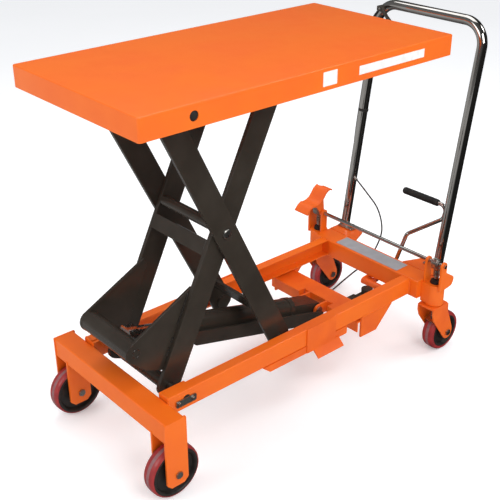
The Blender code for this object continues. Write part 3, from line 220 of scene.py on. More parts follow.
# Satin grey printed sheet of the blank plate.
GREY_SHEET = Finish("satin grey sheet", Slot.GREY, "A9ABAE", "9FA1A5", 30, (0.38, 0.48), 1.4, 0.01)
# White vinyl of the blank labels.
WHITE_VINYL = Finish("white vinyl label", Slot.GREY, "F1F0EE", "E6E4E0", 20,
                     (0.35, 0.45), 1.5, 0.01)


# --- The bench: hand tools for modelling --------------------------------------------------------
def put_down() -> None:
    """Deselects everything."""
    bpy.ops.object.select_all(action="DESELECT")


def take(shape: Piece) -> None:
    """Selects one object and makes it active, with everything else deselected."""
    put_down()
    shape.select_set(True)
    bpy.context.view_layer.objects.active = shape


@contextmanager
def in_edit_mode(shape: Piece) -> Iterator[bmesh.types.BMesh]:
    """Opens a mesh for editing with nothing selected, and closes it again.

    Args:
        shape: The object to edit.

    Yields:
        The mesh being edited, whose faces and edges are selected in code.
    """
    take(shape)
    bpy.ops.object.mode_set(mode="EDIT")
    bpy.ops.mesh.select_all(action="DESELECT")
    mesh = bmesh.from_edit_mesh(shape.data)
    yield mesh
    bpy.ops.object.mode_set(mode="OBJECT")


def pick_edges(shape: Piece, wanted: Callable[[Edge], bool]) -> None:
    """Selects the edges that a test accepts, on an object in edit mode.

    Args:
        shape: The object.
        wanted: The test for one edge.
    """
    bpy.ops.mesh.select_mode(type="EDGE")
    mesh = bmesh.from_edit_mesh(shape.data)
    for edge in mesh.edges:
        if wanted(edge):
            edge.select_set(True)
    bmesh.update_edit_mesh(shape.data)


def finish_modifier(shape: Piece, kind: str, **settings: object) -> None:
    """Adds a modifier with its settings and applies it.

    Args:
        shape: The object that it goes on.
        kind: The modifier's type.
        **settings: Its properties by name.
    """
    take(shape)
    modifier = shape.modifiers.new(kind.lower(), kind)
    for key, value in settings.items():
        setattr(modifier, key, value)
    bpy.ops.object.modifier_apply(modifier=modifier.name)


def smooth(shape: Piece, angle: float) -> None:
    """Shades an object smooth across edges shallower than an angle in degrees."""
    take(shape)
    bpy.ops.object.shade_smooth_by_angle(angle=math.radians(angle))


def close_up(shape: Piece) -> None:
    """Merges a shape's doubled vertices, then turns its faces outwards."""
    with in_edit_mode(shape):
        bpy.ops.mesh.select_all(action="SELECT")
        bpy.ops.mesh.remove_doubles(threshold=MERGE)
        bpy.ops.mesh.normals_make_consistent(inside=False)


def freeze(shape: Piece) -> Piece:
    """Applies an object's place, turn and size to its mesh, and returns it."""
    take(shape)
    bpy.ops.object.transform_apply(location=True, rotation=True, scale=True)
    return shape


def soften(shape: Piece, width: float, segments: int = 2, angle: float = 38.0,
           shading: float = 35.0) -> None:
    """Rounds the edges of a piece that are sharper than an angle.

    Args:
        shape: The piece.
        width: Width of the rounding.
        segments: How many steps it has.
        angle: The least angle that is rounded, in degrees.
        shading: The angle below which its faces are shaded as one, in degrees.
    """
    finish_modifier(shape, "BEVEL", width=width, segments=segments, limit_method="ANGLE",
                    angle_limit=math.radians(angle))
    smooth(shape, shading)
    finish_modifier(shape, "WEIGHTED_NORMAL", keep_sharp=True)


def block(low: Point, high: Point, edge: float = 0.0006, segments: int = 2) -> Piece:
    """A block between two corners with rounded edges.

    Args:
        low: Its lowest corner.
        high: Its highest corner.
        edge: Width of the rounding.
        segments: Steps in the rounding.

    Returns:
        The block.
    """
    put_down()
    centre = [(a + b) / 2 for a, b in zip(low, high)]
    bpy.ops.mesh.primitive_cube_add(size=1, location=centre, scale=[b - a for a, b in zip(low, high)])
    shape = freeze(bpy.context.object)
    if edge:
        soften(shape, edge, segments)
    return shape


def turned(profile: Profile, centre: Point, axis: Point = (0, 1, 0), steps: int = 48,
           closed: bool = True) -> Piece:
    """A turned piece: a circle that is extruded from one profile point to the next.

    Args:
        profile: Points (radius, distance along the axis); a closed one ends where it started.
        centre: The piece's middle.
        axis: Direction of its axis.
        steps: Steps round the circle.
        closed: Whether the last point joins the first; otherwise both ends are filled.

    Returns:
        The turned piece, shaded smooth.
    """
    put_down()
    bpy.ops.mesh.primitive_circle_add(vertices=steps, radius=profile[0][0], fill_type="NOTHING",
                                      location=(0, 0, profile[0][1]))
    shape = freeze(bpy.context.object)
    points = [*profile[1:], profile[0]] if closed else list(profile[1:])
    with in_edit_mode(shape):
        bpy.ops.mesh.select_all(action="SELECT")
        if not closed:
            bpy.ops.mesh.edge_face_add()
        radius, height = profile[0]
        for next_radius, next_height in points:
            if closed:
                bpy.ops.mesh.extrude_region()
            else:
                bpy.ops.mesh.extrude_edges_move()
            bpy.ops.transform.translate(value=(0, 0, next_height - height))
            share = next_radius / radius
            bpy.ops.transform.resize(value=(share, share, 1), center_override=(0, 0, next_height))
            radius, height = next_radius, next_height
        if not closed:
            bpy.ops.mesh.edge_face_add()
    close_up(shape)
    shape.rotation_euler = Vector(axis).to_track_quat("Z", "Y").to_euler()
    shape.location = centre
    freeze(shape)
    smooth(shape, 32)
    return shape


def pin(radius: float, start: Point, end: Point, edge: float = 0.0006, sides: int = 48) -> Piece:
    """A bar between two points with its rims rounded: round, or with six sides a hexagon head.

    Args:
        radius: Its radius.
        start: Middle of one end.
        end: Middle of the other.
        edge: Width of the rounding.
        sides: Sides of its section.

    Returns:
        The bar.
    """
    put_down()
    start, end = Vector(start), Vector(end)
    bpy.ops.mesh.primitive_cylinder_add(vertices=sides, radius=radius, depth=(end - start).length,
                                        location=(start + end) / 2)
    shape = bpy.context.object
    shape.rotation_euler = (end - start).to_track_quat("Z", "Y").to_euler()
    freeze(shape)
    soften(shape, edge, 2)
    return shape


def smooth_route(points: Sequence[Point], steps: int = 8) -> list[Vector]:
    """A smooth route through points, by Catmull-Rom spans.

    Args:
        points: The route's own points.
        steps: Steps in each span.

    Returns:
        The finer route.
    """
    first = 2 * Vector(points[0]) - Vector(points[1])
    last = 2 * Vector(points[-1]) - Vector(points[-2])
    knots = [first, *map(Vector, points), last]
    route = []
    for p0, p1, p2, p3 in zip(knots, knots[1:], knots[2:], knots[3:]):
        for k in range(steps):
            t = k / steps
            route.append(0.5 * (2 * p1 + (p2 - p0) * t + (2 * p0 - 5 * p1 + 4 * p2 - p3) * t ** 2
                                + (3 * p1 - p0 - 3 * p2 + p3) * t ** 3))
    return [*route, Vector(points[-1])]


def bent_route(corners: Sequence[Point], radius: float, steps: int = 12) -> list[Vector]:
    """A route of straight runs with a round bend at each inner corner.

    Args:
        corners: The corners of the route.
        radius: Radius of the bends.
        steps: Steps in each bend.

    Returns:
        The route's points.
    """
    corners = [Vector(corner) for corner in corners]
    route = [corners[0]]
    for before, here, after in zip(corners, corners[1:], corners[2:]):
        back, ahead = (before - here).normalized(), (after - here).normalized()
        half = back.angle(ahead) / 2
        centre = here + (back + ahead).normalized() * (radius / math.sin(half))
        first = (here + back * (radius / math.tan(half)) - centre).normalized()
        last = (here + ahead * (radius / math.tan(half)) - centre).normalized()
        route += [centre + first.slerp(last, k / steps) * radius for k in range(steps + 1)]
    return [*route, corners[-1]]


def tube(route: Sequence[Point], radius: float, resolution: int = 8,
         ripple: float = 0.0) -> Piece:
    """A round tube or wire along a route, with closed ends.

    Args:
        route: The points that it follows.
        radius: Its radius.
        resolution: Steps in a quarter of its section.
        ripple: Share by which its radius swells at every other point, as on a weld bead.

    Returns:
        The tube as a mesh.
    """
    curve = bpy.data.curves.new("route", "CURVE")
    curve.dimensions = "3D"
    curve.bevel_depth = radius
    curve.bevel_resolution = resolution
    curve.use_fill_caps = True
    spline = curve.splines.new("POLY")
    spline.points.add(len(route) - 1)
    for i, (point, place) in enumerate(zip(spline.points, route)):
        point.co = (*place, 1)
        point.radius = 1 + ripple * (i % 2)
    shape = bpy.data.objects.new("tube", curve)
    bpy.context.scene.collection.objects.link(shape)
    take(shape)
    bpy.ops.object.convert(target="MESH")
    shape = bpy.context.object
    close_up(shape)
    smooth(shape, 50)
    return shape


def weld(start: Point, end: Point, radius: float, pitch: float = 0.0028) -> Piece:
    """A weld bead with its row of ripples, between two points.

    Args:
        start: Where it starts.
        end: Where it ends.
        radius: Its radius.
        pitch: Distance between ripples.

    Returns:
        The bead.
    """
    start, end = Vector(start), Vector(end)
    count = max(4, round((end - start).length / pitch) * 2)
    route = [start.lerp(end, i / count) for i in range(count + 1)]
    return tube(route, radius, 2, ripple=0.22)


def finished_copy(node: str, edge: float, segments: int) -> Piece:
    """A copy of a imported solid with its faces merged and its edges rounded.

    Args:
        node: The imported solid's name.
        edge: Width of the rounding.
        segments: Steps in the rounding.

    Returns:
        The copy.
    """
    shape = bpy.data.objects.new(f"{node}.body", frame["nodes"][node].data.copy())
    bpy.context.scene.collection.objects.link(shape)
    with in_edit_mode(shape):
        bpy.ops.mesh.select_all(action="SELECT")
        bpy.ops.mesh.remove_doubles(threshold=PACKED_MERGE)
        bpy.ops.mesh.dissolve_limited(angle_limit=FLAT_ANGLE)
    soften(shape, edge, segments, 40, 33)
    return shape


def joined(name: str, shapes: Iterable[Piece]) -> Piece:
    """Makes one object of several, which keep their own materials.

    Args:
        name: The new piece's name.
        shapes: The objects; the first takes the others in.

    Returns:
        The first object, renamed.
    """
    shapes = list(shapes)
    put_down()
    for shape in shapes:
        shape.select_set(True)
    bpy.context.view_layer.objects.active = shapes[0]
    if len(shapes) > 1:
        bpy.ops.object.join()
    shapes[0].name = name
    return shapes[0]


def fit(piece: Piece, name: str, body: str, finish: Finish,
        stands_for: Sequence[str] = ()) -> Piece:
    """Names a piece, gives it its finish and hangs it on the body that it moves with.

    Args:
        piece: The finished piece.
        name: Its name in plain words.
        body: The body that it rides on.
        finish: Its finish.
        stands_for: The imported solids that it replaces.

    Returns:
        The piece.
    """
    piece.name = piece.data.name = name.replace(" ", "_")
    if not any(slot.material for slot in piece.material_slots):
        piece.data.materials.clear()
        piece.data.materials.append(finish.material())
    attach(piece, body)
    if stands_for:
        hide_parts(*stands_for)
    log.info("%s rides on %s in %s", piece.name, body, finish.name)
    return piece


def coat_copy(node: str, body: str, finish: Finish, edge: float = 0.0008,
              segments: int = 2) -> Piece:
    """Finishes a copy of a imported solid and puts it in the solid's place.

    Args:
        node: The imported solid.
        body: The body that it belongs to.
        finish: Its finish.
        edge: Width of its rounded edges.
        segments: Steps in the rounding.

    Returns:
        The finished copy.
    """
    copy = finished_copy(node, edge, segments)
    copy.data.materials.clear()
    return fit(copy, f"{node} finished", body, finish, [node])


def span(node: str) -> tuple[Vector, Vector, Vector]:
    """The lowest corner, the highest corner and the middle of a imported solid's box."""
    low, high = map(Vector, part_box(node))
    return low, high, (low + high) / 2


def middle(node: str) -> Vector:
    """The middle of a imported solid's box."""
    return span(node)[2]


def joint_place(name: str) -> Vector:
    """A point on a joint's axis."""
    return Vector(next(joint for joint in frame["joints"] if joint["name"] == name)["pos_m"])


def mirrored(half: Profile) -> list[tuple[float, float]]:
    """A turned piece's profile from one side of its middle, followed by the other side."""
    return [*half, *((radius, -along) for radius, along in reversed(half))]


# --- Sub-assemblies ------------------------------------------------------------------------------
@dataclass
class Deck:
    """The lifting platform: a folded sheet tray with its labels, hole plugs and roller guides."""

    body: str = "lift_platform"
    sheet: float = 0.003
    corner: float = 0.007
    fold: float = 0.0035
    hole_radius: float = 0.012
    plug_gap: float = 0.0003
    plug_depth: float = 0.0012
    label_thickness: float = 0.00035
    rib_half_width: float = 0.016
    rib_depth: float = 0.0165
    rib_gap: float = 0.005

    def build(self) -> None:
        """Builds the tray and everything that is fixed to it."""
        self.tray()
        self.plugs()
        self.labels()
        for side, _ in SIDES:
            coat_copy(f"roller_guide_{side}", self.body, POWDER_COAT)
            coat_copy(f"platform_pin_{side}", self.body, ZINC_PLATE, 0.0006)
        self.stiffeners()

    def tray(self) -> None:
        """The sheet with its skirt folded down and its corners welded round."""
        low, high, _ = span("platform")
        tray = block(low, high, 0)
        with in_edit_mode(tray) as mesh:
            bpy.ops.mesh.select_mode(type="FACE")
            for face in mesh.faces:
                face.select_set(face.normal.z < -0.5)
            bmesh.update_edit_mesh(tray.data)
            bpy.ops.mesh.delete(type="FACE")
        with in_edit_mode(tray):
            pick_edges(tray, lambda edge: abs(edge.verts[0].co.z - edge.verts[1].co.z) > self.corner)
            bpy.ops.mesh.bevel(offset=self.corner, segments=6, affect="EDGES")
        with in_edit_mode(tray):
            pick_edges(tray, lambda edge: len(edge.link_faces) == 2
                       and all(vertex.co.z > high.z - MERGE for vertex in edge.verts))
            bpy.ops.mesh.bevel(offset=self.fold, segments=5, affect="EDGES")
        finish_modifier(tray, "SOLIDIFY", thickness=self.sheet, offset=-1.0, use_even_offset=True)
        start, end = middle("platform_pin_near"), middle("platform_pin_near")
        start.y, end.y = low.y - 0.02, high.y + 0.02
        hole = pin(self.hole_radius, start, end, 0.0001)
        finish_modifier(tray, "BOOLEAN", operation="DIFFERENCE", solver="EXACT", object=hole)
        bpy.data.objects.remove(hole)
        smooth(tray, 40)
        fit(tray, "platform tray", self.body, POWDER_COAT, ["platform"])

    def plugs(self) -> None:
        """A black plug in the access hole on each side, just below the skirt's face."""
        low, high, _ = span("platform")
        radius = self.hole_radius - self.plug_gap
        profile = [(radius * 0.35, 0.0), (radius * 0.8, -0.0002), (radius, -0.0008),
                   (radius, -0.006), (radius * 0.35, -0.006)]
        place = middle("platform_pin_near")
        for side, s in SIDES:
            place.y = (low if s < 0 else high).y - s * self.plug_depth
            plug = turned(profile, place, (0, s, 0), 40, closed=False)
            fit(plug, f"access hole plug {side}", self.body, RUBBER)

    def labels(self) -> None:
        """Two blank vinyl labels on the near skirt."""
        low, high, centre = span("platform")
        for name, start, end, bottom, top in (("square label", 0.019, 0.066, 0.0444, 0.0094),
                                              ("strip label", 0.143, 0.388, 0.0394, 0.0174)):
            label = block((centre.x + start, low.y - self.label_thickness, high.z - bottom),
                          (centre.x + end, low.y + 0.0002, high.z - top), 0.0002, 1)
            fit(label, name, self.body, WHITE_VINYL)

    def stiffeners(self) -> None:
        """Ribs across the underside of the sheet, short enough to pass between the inner arms."""
        low, high, _ = span("platform")
        reach = span("inner_arm_far")[0].y - self.rib_gap
        top = high.z - self.sheet
        for number, share in enumerate((0.47, 0.70, 0.92), 1):
            x = low.x + (high.x - low.x) * share
            rib = block((x - self.rib_half_width, -reach, top - self.rib_depth),
                        (x + self.rib_half_width, reach, top - 0.0002), 0.002, 3)
            fit(rib, f"sheet rib {number}", self.body, POWDER_COAT)


@dataclass
class Scissor:
    """The crossed arms with their pins, braces, rollers and the cradle that the ram lifts."""

    arm_edge: float = 0.0013
    roller_rim: float = 0.001
    roller_lip: float = 0.005
    roller_bore: float = 0.0105
    arm_angle: float = math.radians(63.97)
    weld_above: float = 0.0346
    weld_proud: float = 0.0006
    bar_along: float = 0.0814
    bar_above: float = 0.1373

    def build(self) -> None:
        """Finishes the arms and their pieces."""
        for side, s in SIDES:
            coat_copy(f"inner_arm_{side}", "inner_arms", BLACK_ENAMEL, self.arm_edge, 3)
            coat_copy(f"outer_arm_{side}", "outer_arms", BLACK_ENAMEL, self.arm_edge, 3)
            self.centre_pin(side, s)
            self.roller(f"guide_roller_{side}", f"upper_roller_{side}")
            self.roller(f"rail_roller_{side}", f"lower_roller_{side}")
        for node, body in (("ram_cradle", "inner_arms"), ("cross_flat", "inner_arms"),
                           ("lower_cross_plate", "outer_arms")):
            coat_copy(node, body, BLACK_ENAMEL, 0.0012, 3)
        coat_copy("base_pivot_shaft", "chassis", BLACK_ENAMEL, 0.001)
        self.tie_tube()
        self.cross_welds()
        self.gusset_welds()

    def centre_pin(self, side: str, s: int) -> None:
        """The pin where a pair of arms cross, with its head.

        Args:
            side: Which pair of arms.
            s: The sign of Y on that side.
        """
        low, high, place = span(f"centre_pin_{side}")
        back = low.y - high.y
        profile = [(0.003, 0.0), (0.0085, 0.0), (0.0112, -0.0008), (0.0125, -0.0022),
                   (0.0125, -0.0046), (0.0098, -0.0046), (0.0098, back), (0.003, back)]
        place.y = (low if s < 0 else high).y
        fit(turned(profile, place, (0, s, 0), closed=False), f"centre pin {side} finished",
            "inner_arms", ZINC_PLATE, [f"centre_pin_{side}"])

    def roller(self, node: str, body: str) -> None:
        """A hardened roller with a shielded bearing face.

        Args:
            node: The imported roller.
            body: The body that it turns with.
        """
        low, high, centre = span(node)
        half, radius, rim = (high.y - low.y) / 2, (high.z - low.z) / 2, self.roller_rim
        lip = radius - self.roller_lip
        profile = mirrored([(self.roller_bore, half - rim), (lip - 0.0005, half - rim), (lip, half),
                            (radius - rim, half), (radius, half - rim)])
        fit(turned(profile, centre, steps=56), f"{node} finished", body, GROUND_STEEL, [node])

    def tie_tube(self) -> None:
        """The round tube between the inner arms."""
        low, high, centre = span("tie_tube")
        shape = pin((high.x - low.x) / 2, (centre.x, low.y, centre.z), (centre.x, high.y, centre.z),
                    0.0004, 56)
        fit(shape, "tie tube finished", "inner_arms", BLACK_ENAMEL, ["tie_tube"])

    def cross_welds(self) -> None:
        """Weld beads where the cross flat meets the inner arms."""
        low, high, _ = span("cross_flat")
        beads = [weld((low.x + 0.004, s * (high.y - 0.001), low.z + 0.006),
                      (high.x - 0.004, s * (high.y - 0.001), high.z - 0.002), 0.0018)
                 for _, s in SIDES]
        fit(joined("bead", beads), "cross flat welds", "inner_arms", WELD_ENAMEL)

    def at_arm(self, along: float, above: float, y: float) -> Vector:
        """A place given along and above an inner arm's middle line, from its lower pivot.

        Args:
            along: Distance along the arm.
            above: Distance above its middle line.
            y: The place across the table.

        Returns:
            The place in the table's frame.
        """
        pivot = middle("base_pivot_shaft")
        run, rise = math.cos(self.arm_angle), math.sin(self.arm_angle)
        return Vector((pivot.x + along * run - above * rise, y,
                       pivot.z + along * rise + above * run))

    def gusset_welds(self) -> None:
        """Stitch welds from the cradle's gussets to the arms, and a ring round the bar's end."""
        reach = span("ram_cradle")[1].y
        ring = [(0.0096, -0.0008), (0.0101, 0.0008), (0.011, 0.0014), (0.0119, 0.0008),
                (0.0124, -0.0008)]
        for side, s in SIDES:
            beads = []
            for stitch in ((0.080, 0.104), (0.118, 0.132), (0.168, 0.252)):
                start, end = (self.at_arm(along, self.weld_above, s * (reach + self.weld_proud))
                              for along in stitch)
                beads.append(weld(start, end, 0.0034, 0.006))
            bar_end = self.at_arm(self.bar_along, self.bar_above, s * reach)
            beads.append(turned(ring, bar_end, (0, s, 0)))
            fit(joined("bead", beads), f"cradle welds {side}", "inner_arms", WELD_ENAMEL)


@dataclass
class Ram:
    """The hydraulic ram: cylinder, polished rod, side bars, rear pin and its bracket."""

    edge: float = 0.0008

    def build(self) -> None:
        """Finishes the ram and its anchor."""
        coat_copy("ram_cylinder", "ram", BLACK_ENAMEL, 0.0012, 3)
        coat_copy("ram_side_bars", "ram", BLACK_ENAMEL, 0.001)
        coat_copy("ram_rod", "ram_piston", GROUND_STEEL, self.edge)
        coat_copy("ram_anchor_pin", "chassis", ZINC_PLATE, self.edge)
        coat_copy("ram_anchor_bracket", "chassis", PLATE_COAT, self.edge)


@dataclass
class Chassis:
    """Rails, cross beams, brackets and welds of the base frame."""

    bead: float = 0.0022
    sunk: float = 0.0006
    proud: float = 0.0002

    def build(self) -> None:
        """Finishes the frame and lays its weld beads."""
        for side, _ in SIDES:
            for node, finish, edge in (
                    ("rail", POWDER_COAT, 0.0009), ("side_bracket", PLATE_COAT, 0.0008),
                    ("handle_bracket", PLATE_COAT, 0.0008), ("shaft_keeper", ZINC_PLATE, 0.0006)):
                coat_copy(f"{node}_{side}", "chassis", finish, edge)
        coat_copy("front_beam", "chassis", POWDER_COAT, 0.001, 3)
        coat_copy("mid_channel", "chassis", PLATE_COAT, 0.001)
        coat_copy("rear_beam", "chassis", POWDER_COAT, 0.001)
        coat_copy("blank_plate", "chassis", GREY_SHEET, 0.0003, 1)
        self.rail_welds()

    def rail_welds(self) -> None:
        """Beads where the rails meet the beams and the channel's end plates meet the rails."""
        plate_low, plate_high, _ = span("mid_channel")
        lines = []
        for side, s in SIDES:
            low, high, _ = span(f"rail_{side}")
            face = s * max(abs(low.y), abs(high.y))
            inner = s * min(abs(low.y), abs(high.y)) + s * 0.012
            outside, above = face + s * self.proud, high.z + self.proud
            for x in (low.x + self.sunk, high.x - self.sunk):
                lines.append(((x, outside, low.z + 0.004), (x, outside, high.z - 0.004)))
                lines.append(((x, face - s * 0.003, above), (x, inner, above)))
            edge, above = face - s * 0.001, plate_high.z + self.proud
            lines.append(((plate_low.x + 0.020, edge, above), (plate_high.x - 0.004, edge, above)))
        fit(joined("bead", [weld(start, end, self.bead) for start, end in lines]),
            "frame weld beads", "chassis", POWDER_COAT)


@dataclass
class Wheel:
    """A wheel: a red tyre with a scuffed rolling band, cast on a dished black centre."""

    node: str
    body: str
    tyre: float = 0.0065
    band: float = 0.0048
    boss_proud: float = 0.0015
    dish_depth: float = 0.011

    def build(self) -> None:
        """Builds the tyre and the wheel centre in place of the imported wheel."""
        low, high, centre = span(self.node)
        radius, hub_half = (high.z - low.z) / 2, (high.y - low.y) / 2
        half, seat = hub_half - self.boss_proud, radius - self.tyre
        edge = [(seat, half - 0.001), (radius - 0.0052, half - 0.0006),
                (radius - 0.0034, half - 0.0018), (radius - 0.0016, half - 0.005),
                (radius - 0.0005, half - 0.0095), (radius - 0.0003, self.band + 0.0004),
                (radius, self.band)]
        tyre = turned([*edge, (radius, 0.0), *mirrored(edge)[len(edge):]], centre, steps=96)
        tyre.data.materials.append(POLYURETHANE.material())
        tyre.data.materials.append(WORN_TREAD.material())
        for face in tyre.data.polygons:
            place = face.center - centre
            if abs(place.y) < self.band + 0.0003 and math.hypot(place.x, place.z) > radius - 0.001:
                face.material_index = 1
        fit(tyre, f"{self.node} tyre", self.body, POLYURETHANE, [self.node])
        self.centre(centre, seat - 0.0002, half, hub_half)

    def centre(self, place: Vector, seat: float, half: float, hub_half: float) -> None:
        """The cast centre: rim, dished web and bearing boss, with a raised ring on each face.

        Args:
            place: The wheel's middle.
            seat: Radius of the rim under the tyre.
            half: Half of the rim's width.
            hub_half: Half of the boss's width.
        """
        dish, recess = half - self.dish_depth, hub_half - 0.0012
        profile = mirrored([(seat, half - 0.001), (seat - 0.0015, half), (seat - 0.005, half),
                            (seat - 0.0075, half - 0.002), (seat - 0.0105, dish), (0.0265, dish),
                            (0.0235, dish + 0.0025), (0.0215, hub_half - 0.003),
                            (0.0195, hub_half - 0.0006), (0.018, hub_half), (0.0145, hub_half),
                            (0.0135, recess), (0.0068, recess)])
        shape = turned(profile, place, steps=80)
        fit(shape, f"{self.node} centre", self.body, WHEEL_CENTRE)


@dataclass
class AxleBolt:
    """A zinc plated axle bolt with a hexagon head at one end and a lock nut at the other."""

    node: str
    body: str
    shank: float = 0.006
    head: float = 0.0108
    head_height: float = 0.0054

    def build(self) -> None:
        """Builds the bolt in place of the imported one."""
        low, high, at = span(self.node)
        pieces = [pin(self.shank, (at.x, low.y + 0.0005, at.z), (at.x, high.y - 0.0005, at.z),
                      0.0008, 40)]
        for s, end in ((-1, low.y), (1, high.y)):
            start = end - s * 0.001
            pieces.append(pin(self.head, (at.x, start, at.z),
                              (at.x, start - s * self.head_height, at.z), 0.0007, 6))
        fit(joined("bolt", pieces), f"{self.node} finished", self.body, ZINC_PLATE, [self.node])


@dataclass
class Caster:
    """A rear swivel caster: housing, race, fork, wheel, bolt, brake plunger, spring and boot."""

    side: str
    tyre: float = 0.012
    coils: float = 5.5
    coil_points: int = 120
    coil_radius: float = 0.0092
    wire: float = 0.0011
    nut_radius: float = 0.009
    nut_height: float = 0.0055
    housing_height: float = 0.0835

    def build(self) -> None:
        """Builds the caster's pieces."""
        fork = f"swivel_{self.side}"
        coat_copy(f"caster_housing_{self.side}", "chassis", POWDER_COAT, 0.001, 3)
        coat_copy(f"caster_fork_{self.side}", fork, PLATE_COAT, 0.001, 3)
        Wheel(f"caster_wheel_{self.side}", f"rear_wheel_{self.side}", self.tyre).build()
        AxleBolt(f"caster_axle_{self.side}", fork).build()
        self.race()
        self.plunger()

    def kingpin(self) -> Vector:
        """A point on the kingpin's axis, at floor level."""
        return joint_place(f"swivel_{self.side}") * Vector((1, 1, 0))

    def race(self) -> None:
        """The pressed bearing race between the housing and the fork."""
        top = span(f"caster_housing_{self.side}")[0].z
        profile = [(0.017, top - 0.0003), (0.0225, top - 0.0003), (0.0235, top - 0.0008),
                   (0.0235, top - 0.0014), (0.0225, top - 0.0018), (0.017, top - 0.0018)]
        fit(turned(profile, self.kingpin(), (0, 0, 1), 56), f"caster race {self.side}",
            f"swivel_{self.side}", ZINC_PLATE)

    def plunger(self) -> None:
        """The brake plunger with its lock nuts, return spring and rubber boot."""
        axis, top = self.kingpin(), span(f"brake_plunger_{self.side}")[1].z
        body, name = f"plunger_{self.side}", f"brake plunger {self.side}"
        copy = coat_copy(f"brake_plunger_{self.side}", body, GROUND_STEEL, 0.0007)
        copy.name = f"brake_plunger_{self.side}_pad_and_stem"
        base = span(f"caster_housing_{self.side}")[1].z - self.housing_height
        for number, height in enumerate((base + 0.0165, base + 0.046), 1):
            nut = pin(self.nut_radius, (axis.x, axis.y, height),
                      (axis.x, axis.y, height + self.nut_height), 0.0007, 6)
            fit(nut, f"{name} lock nut {number}", body, ZINC_PLATE)
        start, end = base + 0.0225, top - 0.0085
        coil = []
        for i in range(self.coil_points + 1):
            share = i / self.coil_points
            turn = math.tau * self.coils * share
            coil.append((axis.x + self.coil_radius * math.cos(turn),
                         axis.y + self.coil_radius * math.sin(turn), start + (end - start) * share))
        fit(tube(coil, self.wire, 3), f"{name} spring", body, ZINC_PLATE)
        ribs = [(radius, base + height) for radius, height in (
            (0.0085, 0.0005), (0.0165, 0.0005), (0.017, 0.004), (0.015, 0.0055), (0.016, 0.0075),
            (0.014, 0.0092), (0.0145, 0.0112), (0.012, 0.013), (0.0085, 0.013))]
        fit(turned(ribs, axis, (0, 0, 1)), f"brake boot {self.side}", "chassis", RUBBER)


@dataclass
class BrakeGear:
    """The brake's cross shaft with its cams and cam screws, and the S-shaped foot pedal."""

    shaft_radius: float = 0.006
    cam_bore: float = 0.0062
    cam_radius: float = 0.015
    cam_half: float = 0.013
    screw_radius: float = 0.0042

    def build(self) -> None:
        """Builds the shaft with its cams, and finishes the pedal."""
        low, high, centre = span("brake_shaft")
        shaft = pin(self.shaft_radius, (centre.x, low.y, centre.z), (centre.x, high.y, centre.z), 0.001)
        fit(shaft, "brake shaft finished", "brake", CHROME_PLATE, ["brake_shaft"])
        half, radius = self.cam_half, self.cam_radius
        profile = mirrored([(self.cam_bore, half), (radius - 0.004, half),
                            (radius - 0.003, half - 0.003), (radius - 0.0008, half - 0.0034),
                            (radius, half - 0.0042)])
        for side, s in SIDES:
            y = s * abs(middle(f"caster_fork_{side}").y)
            fit(turned(profile, (centre.x, y, centre.z)), f"brake cam {side}", "brake", ZINC_PLATE)
            top = centre.z + radius
            screw = pin(self.screw_radius, (centre.x - 0.004, y, top - 0.002),
                        (centre.x - 0.0055, y, top + 0.0035), 0.0006, 6)
            fit(screw, f"cam screw {side}", "brake", ZINC_PLATE)
        coat_copy("brake_pedal", "brake", PLATE_COAT, 0.001, 3)


# The release cable's route from the handle's upright to the pump, as (x from the platform's rear
# edge, y, z).
CABLE_POINTS = (
    (0.143, 0.178, 0.430), (0.135, 0.121, 0.401), (0.134, 0.074, 0.366), (0.134, 0.050, 0.320),
    (0.132, 0.046, 0.273), (0.110, 0.052, 0.220), (0.070, 0.052, 0.184), (0.023, 0.050, 0.178),
    (-0.050, 0.034, 0.176), (-0.100, 0.022, 0.174), (-0.143, 0.012, 0.173),
)
# The pedal rod's corners, from under the rear beam to the grip, in the same way.
PEDAL_CORNERS = (
    (0.021, -0.035, 0.177), (0.098, -0.035, 0.177), (0.120, -0.070, 0.325), (0.195, -0.150, 0.383),
    (0.195, -0.160, 0.430), (0.195, 0.013, 0.430),
)


